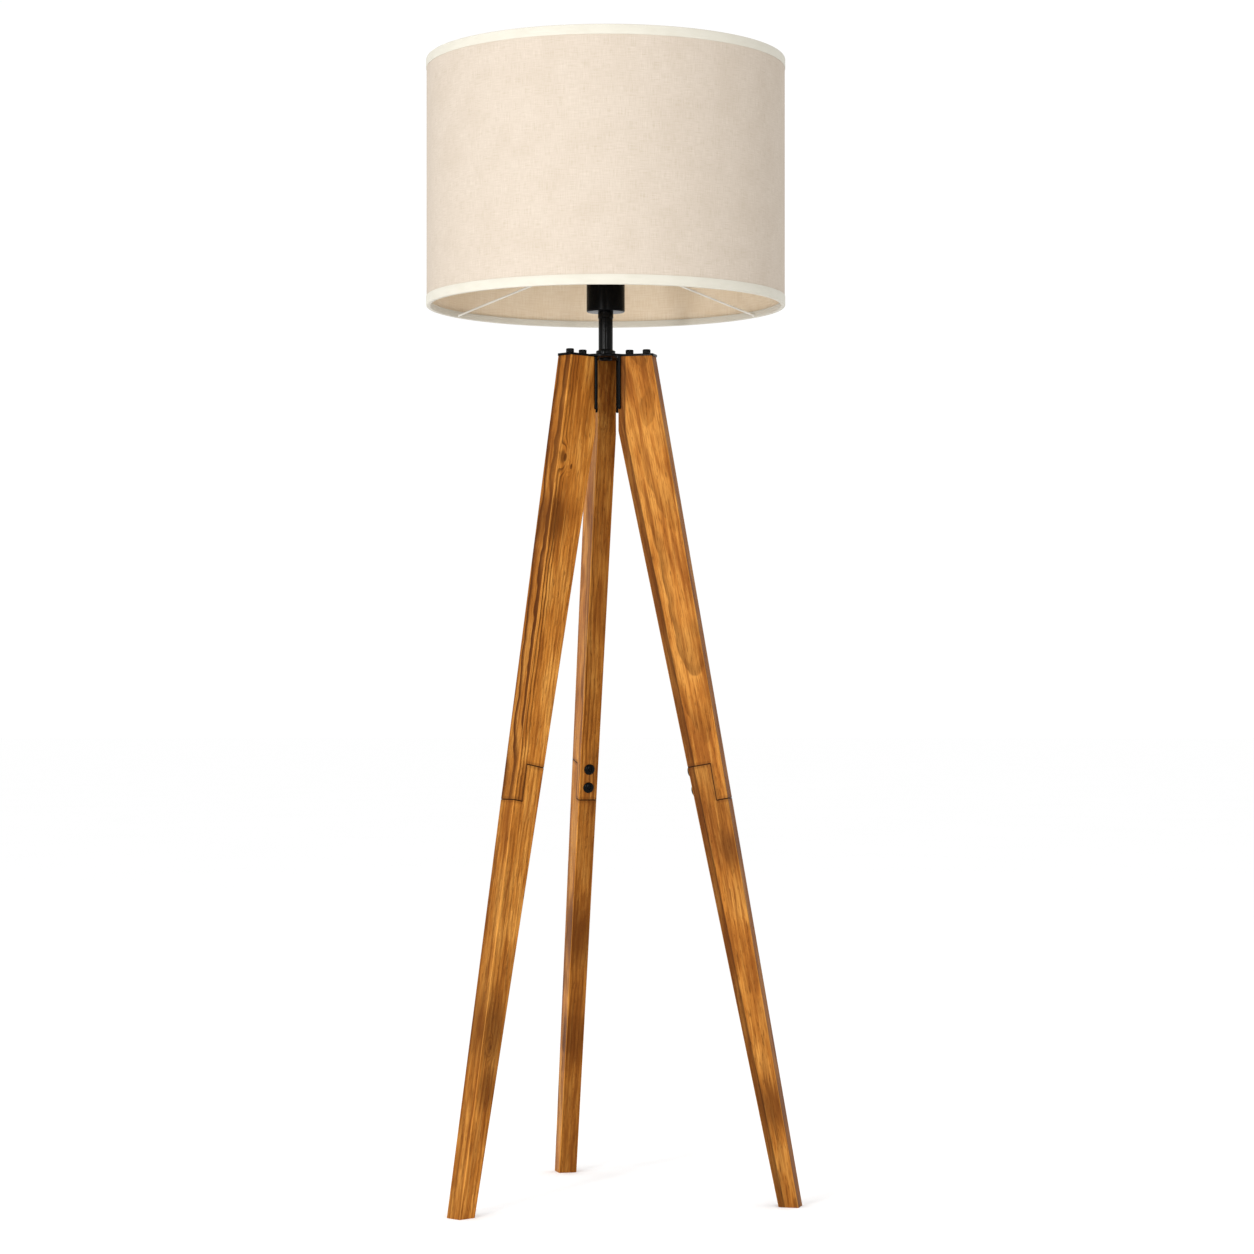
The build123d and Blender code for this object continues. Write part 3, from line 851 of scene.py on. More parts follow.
class Bench:
    """Modelling by operators: primitives shaped in edit mode and finished with modifiers."""

    @staticmethod
    def clear() -> None:
        """Leave nothing selected."""
        if bpy.context.object and bpy.context.object.mode != "OBJECT":
            bpy.ops.object.mode_set(mode="OBJECT")
        bpy.ops.object.select_all(action="DESELECT")

    @classmethod
    def take(cls, piece: bpy.types.Object) -> None:
        """Make one piece the only one selected, and the active one.

        Args:
            piece: The piece.
        """
        cls.clear()
        piece.select_set(True)
        bpy.context.view_layer.objects.active = piece

    @staticmethod
    def settle(name: str, smooth_angle: Optional[float] = None) -> bpy.types.Object:
        """Name the active object and put its place into its mesh.

        Args:
            name: The piece's name.
            smooth_angle: Edges flatter than this, in degrees, are shaded smooth.

        Returns:
            The object, at the origin.
        """
        if bpy.context.object.mode != "OBJECT":
            bpy.ops.object.mode_set(mode="OBJECT")
        piece = bpy.context.object
        piece.name = name
        piece.data.name = name
        bpy.ops.object.transform_apply(location=True, rotation=True, scale=True)
        if smooth_angle is not None:
            bpy.ops.object.shade_smooth_by_angle(angle=math.radians(smooth_angle))
        return piece

    @classmethod
    def turned(cls, name: str, outline: Outline, segments: int = 96, ends: Ends = Ends.DISCS,
               smooth_angle: float = 38.0) -> bpy.types.Object:
        """Turn an outline about the vertical axis.

        Args:
            name: The piece's name.
            outline: Radius and height of each point, none of them on the axis.
            segments: Steps round the axis.
            ends: How the outline is closed.
            smooth_angle: Edges flatter than this, in degrees, are shaded smooth.

        Returns:
            The piece.
        """
        cls.clear()
        radius, height = outline[0]
        bpy.ops.mesh.primitive_circle_add(
            vertices=segments, radius=radius, fill_type="NOTHING", location=(0, 0, height)
        )
        bpy.ops.object.mode_set(mode="EDIT")
        for next_radius, next_height in outline[1:]:
            bpy.ops.mesh.extrude_region_move(
                TRANSFORM_OT_translate={"value": (0, 0, next_height - height)}
            )
            ratio = next_radius / radius
            bpy.ops.transform.resize(value=(ratio, ratio, 1), center_override=(0, 0, next_height))
            radius, height = next_radius, next_height
        bpy.ops.mesh.select_all(action="DESELECT")
        bpy.ops.mesh.select_non_manifold(extend=False)
        if ends is Ends.LOOP:
            bpy.ops.mesh.bridge_edge_loops()
        else:
            bpy.ops.mesh.fill_holes(sides=0)
        bpy.ops.mesh.select_all(action="SELECT")
        bpy.ops.mesh.normals_make_consistent(inside=False)
        return cls.settle(name, smooth_angle)

    @classmethod
    def reshape(cls, piece: bpy.types.Object, chosen: Callable[[Vector], bool],
                scale: tuple[float, float, float]) -> None:
        """Resize the chosen points about the vertical axis.

        Args:
            piece: The piece.
            chosen: Tells from a point's place whether it is moved.
            scale: How much, in each direction.
        """
        cls.take(piece)
        bpy.ops.object.mode_set(mode="EDIT")
        bpy.ops.mesh.select_all(action="DESELECT")
        bpy.ops.object.mode_set(mode="OBJECT")
        for vertex in piece.data.vertices:
            vertex.select = chosen(vertex.co)
        bpy.ops.object.mode_set(mode="EDIT")
        bpy.ops.transform.resize(value=scale, center_override=(0, 0, 0))
        bpy.ops.object.mode_set(mode="OBJECT")

    @classmethod
    def knurl(cls, piece: bpy.types.Object, segments: int, rows: tuple[float, float],
              depth: float) -> None:
        """Press ribs into a turned wall, by drawing in every second column of points.

        Args:
            piece: The piece, upright at the origin.
            segments: Steps round its axis.
            rows: The lowest and highest point of the ribs.
            depth: How deep they are, as a share of the radius.
        """
        widest = max(math.hypot(v.co.x, v.co.y) for v in piece.data.vertices)
        wall_share = 0.985

        def in_a_groove(place: Vector) -> bool:
            """Tell whether a point of the wall is in a groove.

            Args:
                place: The point.

            Returns:
                True for a point that is drawn in.
            """
            column = round(math.atan2(place.y, place.x) * segments / (2 * math.pi))
            on_wall = math.hypot(place.x, place.y) > widest * wall_share
            return on_wall and column % 2 == 0 and rows[0] < place.z < rows[1]

        cls.reshape(piece, in_a_groove, (1 - depth, 1 - depth, 1))

    @classmethod
    def soften(cls, piece: bpy.types.Object, width: float, sharp_angle: float) -> None:
        """Round the sharp edges of a piece, and leave it selected.

        Args:
            piece: The piece.
            width: Width of the bevel.
            sharp_angle: Edges sharper than this, in degrees, are rounded.
        """
        cls.modify(piece, "BEVEL", width=width, segments=2, limit_method="ANGLE",
                   angle_limit=math.radians(sharp_angle))
        cls.take(piece)

    @classmethod
    def modify(cls, piece: bpy.types.Object, kind: str, **settings: object) -> None:
        """Add a modifier and apply it.

        Args:
            piece: The piece.
            kind: The modifier's type.
            settings: Its settings.
        """
        cls.take(piece)
        modifier = piece.modifiers.new(kind.lower(), kind)
        for key, value in settings.items():
            setattr(modifier, key, value)
        bpy.ops.object.modifier_apply(modifier=modifier.name)

    @classmethod
    def socket(cls, piece: bpy.types.Object, flats: float, top: float, depth: float) -> None:
        """Cut a hexagon socket into a head.

        Args:
            piece: The screw, upright at the origin.
            flats: Width across the socket's flats.
            top: Height of the head's top.
            depth: The socket's depth.
        """
        cls.clear()
        bpy.ops.mesh.primitive_cylinder_add(
            vertices=6, radius=flats / math.sqrt(3), depth=2 * depth, location=(0, 0, top)
        )
        punch = bpy.context.object
        cls.modify(piece, "BOOLEAN", object=punch, operation="DIFFERENCE", solver="EXACT")
        bpy.data.objects.remove(punch)
        cls.soften(piece, 0.12 * MM, 60)
        bpy.ops.object.shade_smooth_by_angle(angle=math.radians(40))

    @classmethod
    def repeat(cls, name: str, model: bpy.types.Object,
               places: Iterable[Matrix]) -> bpy.types.Object:
        """Copy a piece to several places and join the copies.

        Args:
            name: The finished piece's name.
            model: The piece at the origin. It goes.
            places: Where the copies go.

        Returns:
            The finished piece.
        """
        copies = []
        for place in places:
            copy = model.copy()
            copy.data = model.data.copy()
            bpy.context.collection.objects.link(copy)
            copy.matrix_world = place
            copies.append(copy)
        bpy.data.objects.remove(model)
        cls.clear()
        for copy in copies:
            copy.select_set(True)
        bpy.context.view_layer.objects.active = copies[0]
        bpy.ops.object.join()
        return cls.settle(name)

    @classmethod
    def from_node(cls, node: str, name: str, edge: float) -> bpy.types.Object:
        """Copy a part of the frame and soften its edges.

        Args:
            node: The part.
            name: The piece's name.
            edge: Width of the bevel on its edges.

        Returns:
            The piece.
        """
        cls.clear()
        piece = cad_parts[node].copy()
        piece.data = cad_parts[node].data.copy()
        piece.parent = None
        piece.matrix_world = Matrix.Identity(4)
        bpy.context.collection.objects.link(piece)
        cls.take(piece)
        bpy.ops.object.mode_set(mode="EDIT")
        bpy.ops.mesh.select_all(action="SELECT")
        bpy.ops.mesh.remove_doubles(threshold=0.002 * MM)
        bpy.ops.mesh.dissolve_limited(angle_limit=math.radians(0.5))
        bpy.ops.mesh.normals_make_consistent(inside=False)
        bpy.ops.object.mode_set(mode="OBJECT")
        cls.soften(piece, edge, 40)
        return cls.settle(name, 30)

    @classmethod
    def wire(cls, name: str, points: Sequence[tuple[Vector, float]],
             sides: int = 16) -> bpy.types.Object:
        """Draw a round wire through points.

        Args:
            name: The piece's name.
            points: The wire's middle line, and its radius at each point.
            sides: Sides of its section.

        Returns:
            The wire as a mesh.
        """
        cls.clear()
        bpy.ops.curve.primitive_bezier_curve_add(location=(0, 0, 0))
        curve = bpy.context.object
        curve.data.splines.clear()
        spline = curve.data.splines.new("BEZIER")
        spline.bezier_points.add(len(points) - 1)
        for knot, (place, radius) in zip(spline.bezier_points, points):
            knot.co = place
            knot.handle_left_type = "AUTO"
            knot.handle_right_type = "AUTO"
            knot.radius = radius
        spline.resolution_u = 8
        curve.data.dimensions = "3D"
        curve.data.bevel_depth = 1.0
        curve.data.bevel_resolution = sides // 4
        curve.data.use_fill_caps = True
        bpy.ops.object.convert(target="MESH")
        return cls.settle(name, 50)


def finish(piece: bpy.types.Object, material: bpy.types.Material) -> None:
    """Give a piece one material.

    Args:
        piece: The piece or a part of the frame.
        material: Its finish.
    """
    if piece.material_slots:
        for place in piece.material_slots:
            place.material = material
    else:
        piece.data.materials.append(material)


def finish_nodes(material: bpy.types.Material, *nodes: str) -> None:
    """Give parts of the frame one material.

    Args:
        material: Their finish.
        nodes: The parts.
    """
    for node in nodes:
        finish(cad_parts[node], material)
        log.info("%s is dressed", node)


def stand_in(piece: bpy.types.Object, material: bpy.types.Material, body: str,
             node: Optional[str] = None) -> None:
    """Dress a new piece and put it on its body, in place of the part it stands for.

    Args:
        piece: The new piece.
        material: Its finish.
        body: The body that it moves with.
        node: The part that it replaces, if there is one.
    """
    finish(piece, material)
    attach(piece, body)
    if node:
        finish(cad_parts[node], material)
        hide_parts(node)
    faces = len(piece.data.polygons)
    log.info("%s stands for %s, %d faces", piece.name, node or "no other part", faces)


def arc(centre: tuple[float, float], radii: tuple[float, float], start: float, end: float,
        steps: int) -> list[tuple[float, float]]:
    """Points of an arc or of part of an ellipse.

    Args:
        centre: Its centre.
        radii: Its half width and half height.
        start: First angle, in degrees.
        end: Last angle, in degrees.
        steps: How many stretches it has.

    Returns:
        The points.
    """
    turns = [math.radians(start + (end - start) * i / steps) for i in range(steps + 1)]
    return [(centre[0] + radii[0] * math.cos(t), centre[1] + radii[1] * math.sin(t)) for t in turns]


def upright_at(place: Vector, axis: Vector = Vector((0, 0, 1))) -> Matrix:
    """The matrix that stands a piece at a place with its z axis along an axis."""
    return Matrix.Translation(place) @ axis.to_track_quat("Z", "X").to_matrix().to_4x4()


LEGS = (
    Leg("left", 210.0, True),
    Leg("right", 330.0, True),
    Leg("back", 90.0, False),
)

CUTS = {
    "leg_left_upper": Cut(
        seed=1.0, pith_depth=66 * MM, pith_across=26 * MM, slope_depth=0.004, bold=0.2,
        bold_depth=20 * MM, outer_stain_and_shade=0.4,
        knots=(Mark(12 * MM, 128 * MM, 2.6 * MM), Mark(24 * MM, 137 * MM, 1.8 * MM)),
        blots=(Mark(8 * MM, 205 * MM, 20 * MM),),
    ),
    "leg_left_lower": Cut(
        seed=2.3, pith_depth=70 * MM, pith_across=-30 * MM, bold=0.25, tone=0.06, outer_stain_and_shade=0.35,
        knots=(Mark(12 * MM, 860 * MM, 1.8 * MM),),
        blots=(Mark(12 * MM, 845 * MM, 30 * MM), Mark(16 * MM, 905 * MM, 20 * MM)),
    ),
    "leg_right_upper": Cut(
        seed=7.3, pith_depth=16 * MM, pith_across=42 * MM, slope_across=0.03, bold=0.35,
        tone=0.2, outer_stain_and_shade=0.55, inner_shade_band=9.5 * MM,
    ),
    "leg_right_lower": Cut(
        seed=4.7, pith_depth=12 * MM, pith_across=-55 * MM, slope_depth=-0.01, slope_across=0.02,
        tone=0.24, outer_stain_and_shade=0.55, inner_shade_band=8.5 * MM,
        blots=(Mark(12 * MM, 940 * MM, 22 * MM), Mark(10 * MM, 620 * MM, 16 * MM)),
    ),
    "leg_back_upper": Cut(
        seed=5.2, pith_depth=20 * MM, pith_across=60 * MM, bold=0.55, tone=0.12, inner_stain_and_shade=0.32,
    ),
    "leg_back_lower": Cut(
        seed=6.4, pith_depth=14 * MM, pith_across=-60 * MM, slope_depth=0.01, bold=0.5, tone=0.16,
        blots=(Mark(30 * MM, 740 * MM, 30 * MM), Mark(24 * MM, 880 * MM, 22 * MM)),
    ),
}


@dataclass
class Legs:
    """The three legs, each of two planks, with their screws and bolts."""

    wood: StainedPine = StainedPine()
    bolt_radii: tuple[float, float] = (33 * MM, 55 * MM)
    plate_top: float = 1056 * MM
    bolt_length: float = 19 * MM
    lap_screw_length: float = 39 * MM
    glue_thickness: float = 0.5 * MM
    glue_margin: float = 1.2 * MM

    def cap_screws(self) -> bpy.types.Object:
        """Model a knurled cap screw with a hexagon socket, and copy it to the six bolt places.

        Returns:
            The six screws.
        """
        shank, head, rise = 3 * MM, 5 * MM, 6 * MM
        segments = 96
        outline = [
            (shank - 0.5 * MM, -self.bolt_length), (shank, 0.5 * MM - self.bolt_length),
            (shank, 0.0), (head - 0.3 * MM, 0.0), (head - 0.02 * MM, 0.35 * MM),
            (head, 0.5 * MM), (head, rise - 1.1 * MM), (head - 0.02 * MM, rise - 0.9 * MM),
            (head - 0.25 * MM, rise - 0.35 * MM), (head - 0.8 * MM, rise),
        ]
        screw = Bench.turned("cap_screw", outline, segments, smooth_angle=50)
        Bench.knurl(screw, segments, (0.4 * MM, rise - 1.0 * MM), 0.05)
        Bench.socket(screw, 5 * MM, rise, 3 * MM)
        tops = [leg.at(radius, 0, self.plate_top) for leg in LEGS for radius in self.bolt_radii]
        return Bench.repeat("leg_cap_screws", screw, [upright_at(top) for top in tops])

    def lap_screws(self) -> bpy.types.Object:
        """Model a domed screw with a hexagon socket, and copy it to the six lap places.

        Returns:
            The six screws.
        """
        shank = 2.5 * MM
        outline = [
            (shank - 0.5 * MM, -self.lap_screw_length), (shank, 0.5 * MM - self.lap_screw_length),
            (shank, 0.0), (6.8 * MM, 0.0), *arc((0.0, 0.5 * MM), (7 * MM, 3.1 * MM), 0, 70, 12),
        ]
        screw = Bench.turned("lap_screw", outline, 72, smooth_angle=50)
        Bench.socket(screw, 4 * MM, outline[-1][1], 2 * MM)
        places = []
        for leg in LEGS:
            for step in (-0.5, 0.5):
                height = leg.lap_height - leg.thin * math.sin(leg.outer_lean)
                height += step * leg.screw_spacing * math.cos(leg.inner_lean)
                radius = leg.foot_inner - height * math.tan(leg.inner_lean)
                face = leg.at(radius, 0, height)
                inside = (radius - math.cos(leg.inner_lean), height - math.sin(leg.inner_lean))
                places.append(upright_at(face, leg.at(inside[0], 0, inside[1]) - face))
        return Bench.repeat("domed_lap_screws", screw, places)

    def glue_lines(self) -> bpy.types.Object:
        """Fill the narrow gaps at the lap's shoulders with thin dark glue lines.

        Returns:
            The six lines.
        """
        margins = 2 * self.glue_margin
        places = []
        for leg in LEGS:
            outer_shoulder, inner_shoulder = leg.shoulders
            edge = leg.width(inner_shoulder)
            gaps = ((0.0, leg.tongue, outer_shoulder), (leg.tongue, edge, inner_shoulder))
            for start, end, along in gaps:
                place = ((start + end) / 2, 0, along + self.wood.lap_gap / 2)
                size = (end - start - margins, leg.thickness - margins, self.glue_thickness, 1)
                fitted = Matrix.Translation(place) @ Matrix.Diagonal(size)
                places.append(leg.plank_directions().inverted() @ fitted)
        Bench.clear()
        bpy.ops.mesh.primitive_cube_add(size=1.0)
        return Bench.repeat("lap_glue_lines", Bench.settle("glue_line"), places)

    def build(self) -> None:
        """Give every plank its own stretch of the log, and model the screws."""
        for leg in LEGS:
            for half in ("upper", "lower"):
                name = f"leg_{leg.side}_{half}"
                finish_nodes(self.wood.material(f"pine_{leg.side}_{half}", leg, CUTS[name]), name)
        black = BLACK_OXIDE.material("black_oxide")
        stand_in(self.cap_screws(), black, "stand", "leg_top_bolts")
        stand_in(self.lap_screws(), black, "stand", "leg_lap_screws")
        stand_in(self.glue_lines(), DARK_GLUE.material("dark_glue"), "stand")
        finish_nodes(BRASS.material("insert_brass"), "leg_top_inserts", "leg_lap_inserts")


@dataclass
class Metalwork:
    """The bracket, its pins and the stem."""

    pin_radius: float = 1.8 * MM
    pin_length: float = 66 * MM
    pin_inset: float = 2.2 * MM
    pin_gap: float = 0.05 * MM
    flange_radius: float = 12.2 * MM
    tube_radius: float = 9 * MM
    collar_radius: float = 9.7 * MM
    collar_bore: float = 5.05 * MM
    wall: float = 1.5 * MM

    def guide_pins(self) -> bpy.types.Object:
        """Model a pin with a round lower end, and copy it to both sides of each leg.

        Returns:
            The six pins.
        """
        radius = self.pin_radius
        ball = arc((0.0, radius - self.pin_length), (radius, radius), -80, 0, 7)
        pin = Bench.turned("guide_pin", [*ball, (radius, 0.0)], 32)
        places = []
        for leg in LEGS:
            reach = leg.thickness / 2 + self.pin_gap + self.pin_radius
            for side in (-reach, reach):
                places.append(upright_at(leg.at(leg.inner_edge + self.pin_inset, side, leg.height)))
        return Bench.repeat("guide_pins", pin, places)

    def foot_ring(self) -> bpy.types.Object:
        """Turn the stem's foot ring, with the weld round the tube.

        Returns:
            The ring.
        """
        low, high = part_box("stem_flange")
        bore = self.tube_radius + 0.05 * MM
        rim = self.flange_radius
        weld = arc((bore + 1.9 * MM, high.z + 1.6 * MM), (1.85 * MM, 1.6 * MM), 270, 182, 6)
        outline = [
            (bore, low.z), (rim - 0.2 * MM, low.z), (rim, low.z + 0.2 * MM),
            *arc((rim - 0.9 * MM, high.z - 0.9 * MM), (0.9 * MM, 0.9 * MM), 0, 90, 6), *weld,
        ]
        return Bench.turned("stem_foot_ring", outline, 128, Ends.LOOP)

    def pipe(self) -> bpy.types.Object:
        """Turn the stem's tube.

        Returns:
            The tube.
        """
        low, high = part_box("stem_tube")
        edge, inside, soft = self.tube_radius, self.tube_radius - self.wall, 0.4 * MM
        outline = [
            (inside, low.z), (edge, low.z), (edge, high.z - soft), (edge - soft, high.z),
            (inside, high.z),
        ]
        return Bench.turned("stem_pipe", outline, 128, Ends.LOOP)

    def top_collar(self) -> bpy.types.Object:
        """Turn the collar that sits in the tube's top end.

        Returns:
            The collar.
        """
        low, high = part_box("stem_collar")
        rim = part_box("stem_tube")[1].z
        edge, bore, soft = self.collar_radius, self.collar_bore, 0.5 * MM
        plug = self.tube_radius - self.wall - 0.05 * MM
        outline = [
            (bore, low.z), (plug, low.z), (plug, rim), (edge - soft, rim), (edge, rim + soft),
            (edge, high.z - soft), (edge - soft, high.z), (bore, high.z),
        ]
        return Bench.turned("stem_top_collar", outline, 128, Ends.LOOP)

    def build(self) -> None:
        """Model and coat the steel parts."""
        coat = POWDER_COAT.material("black_powder_coat")
        plate = Bench.from_node("top_bracket", "bracket_plate", 0.35 * MM)
        stand_in(plate, coat, "stand", "top_bracket")
        stand_in(self.guide_pins(), coat, "stand", "bracket_guide_pins")
        enamel = STEM_ENAMEL.material("black_stem_enamel")
        stand_in(self.foot_ring(), enamel, "stand", "stem_flange")
        stand_in(self.pipe(), enamel, "stand", "stem_tube")
        stand_in(self.top_collar(), enamel, "stand", "stem_collar")
        finish_nodes(ZINC.material("zinc_plate"), "threaded_nipple", "nipple_washer", "nipple_nut")
        finish_nodes(BLACK_PLASTIC.material("bush_plastic"), "cord_outlet_bush")


@dataclass
class Lampholder:
    """The cover, the core with its threaded barrel, the retaining ring and what is inside."""

    cover_radius: float = 24 * MM
    wall: float = 1.2 * MM
    floor: float = 1.5 * MM
    hole: float = 5.1 * MM
    skirt_radius: float = 22.75 * MM
    barrel_radius: float = 19.5 * MM
    bore: float = 14.0 * MM
    seam: float = 0.35 * MM
    thread_pitch: float = 2.5 * MM
    thread_depth: float = 0.7 * MM
    ring_radius: float = 23 * MM

    def cover(self) -> bpy.types.Object:
        """Turn the cover, a cup with a rounded lower edge.

        Returns:
            The cover.
        """
        low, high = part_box("lampholder_cover")
        edge, inside, soft = self.cover_radius, self.cover_radius - self.wall, 1.6 * MM
        outline = [
            (self.hole, low.z),
            *arc((edge - soft, low.z + soft), (soft, soft), -90, 0, 8),
            (edge, high.z - self.seam), (edge - self.seam, high.z), (inside, high.z),
            (inside, low.z + self.floor), (self.hole, low.z + self.floor),
        ]
        return Bench.turned("lampholder_cup", outline, 160, Ends.LOOP)

    def core(self) -> bpy.types.Object:
        """Turn the core: skirt, collar, threaded barrel and the socket's bore.

        Returns:
            The core.
        """
        low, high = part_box("lampholder_core")
        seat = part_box("lampholder_cover")[1].z
        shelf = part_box("shade_carrier_ring")[0].z
        edge, crest = self.cover_radius, self.barrel_radius
        root = crest - self.thread_depth
        outline = [
            (self.skirt_radius, low.z), (self.skirt_radius, seat), (edge - self.seam, seat),
            (edge, seat + self.seam), (edge, shelf - 0.5 * MM), (edge - 0.5 * MM, shelf),
            (root, shelf),
        ]
        turn = shelf + 0.6 * MM
        while turn + self.thread_pitch < high.z - 0.4 * MM:
            outline += [
                (root, turn), (crest, turn + 0.7 * MM), (crest, turn + 1.3 * MM),
                (root, turn + 2.0 * MM),
            ]
            turn += self.thread_pitch
        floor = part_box("centre_contact")[0].z
        outline += [(crest - 0.8 * MM, high.z), (self.bore + 0.6 * MM, high.z),
                    (self.bore, high.z - 0.6 * MM), (self.bore, floor)]
        return Bench.turned("lampholder_barrel", outline, 128, smooth_angle=30)

    def ring(self) -> bpy.types.Object:
        """Turn the ring that holds the shade down, with a ribbed grip.

        Returns:
            The ring.
        """
        low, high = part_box("shade_retaining_ring")
        segments, edge, bore = 144, self.ring_radius, self.barrel_radius + 0.12 * MM
        outline = [
            (bore, low.z), (edge - 0.4 * MM, low.z), (edge - 0.02 * MM, low.z + 0.5 * MM),
            (edge, low.z + 0.7 * MM), (edge, high.z - 1.4 * MM),
            (edge - 0.02 * MM, high.z - 1.2 * MM), (edge - 0.8 * MM, high.z),
            (bore + 0.5 * MM, high.z), (bore, high.z - 0.5 * MM),
        ]
        ring = Bench.turned("grip_ring", outline, segments, Ends.LOOP, 34)
        Bench.knurl(ring, segments, (low.z + 0.6 * MM, high.z - 1.3 * MM), 0.022)
        return ring

    def build(self) -> None:
        """Model and dress the lampholder."""
        plastic = BLACK_PLASTIC.material("lampholder_plastic")
        coat = POWDER_COAT.material("lampholder_coat")
        stand_in(self.cover(), coat, "stand", "lampholder_cover")
        stand_in(self.core(), plastic, "stand", "lampholder_core")
        stand_in(self.ring(), plastic, "retaining_ring", "shade_retaining_ring")
        finish_nodes(PORCELAIN.material("terminal_porcelain"), "terminal_block")
        brass = BRASS.material("contact_brass")
        finish_nodes(brass, "terminal_screws", "screw_shell", "centre_contact")


@dataclass
class Bulb:
    """The bulb in the lampholder."""

    radius: float = 30 * MM
    neck: float = 13.4 * MM
    shoulder: float = -38.0
    fullness: float = 0.42

    def globe(self) -> bpy.types.Object:
        """Turn the glass, a globe that narrows into its neck.

        Returns:
            The glass.
        """
        low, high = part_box("bulb_globe")
        centre = high.z - self.radius
        turn = math.radians(self.shoulder)
        start = Vector((self.neck, low.z))
        end = Vector((self.radius * math.cos(turn), centre + self.radius * math.sin(turn)))
        pull = (end - start).length * self.fullness
        first = start + Vector((0, pull))
        last = end - Vector((-math.sin(turn), math.cos(turn))) * pull
        steps = 14
        waist = []
        for step in range(steps):
            t = step / steps
            u = 1 - t
            point = start * u**3 + first * (3 * u * u * t) + last * (3 * u * t * t) + end * t**3
            waist.append((point.x, point.y))
        dome = arc((0.0, centre), (self.radius, self.radius), self.shoulder, 89.0, 40)
        outline = [(self.neck - 1 * MM, low.z), *waist, *dome]
        return Bench.turned("bulb_glass", outline, 96, smooth_angle=60)

    def build(self) -> None:
        """Model and dress the bulb."""
        glass = FrostedGlass().material("frosted_glass")
        stand_in(self.globe(), glass, "bulb", "bulb_globe")
        finish_nodes(ZINC.material("tip_solder"), "bulb_tip")
        finish_nodes(CAP_METAL.material("cap_metal"), "bulb_base")


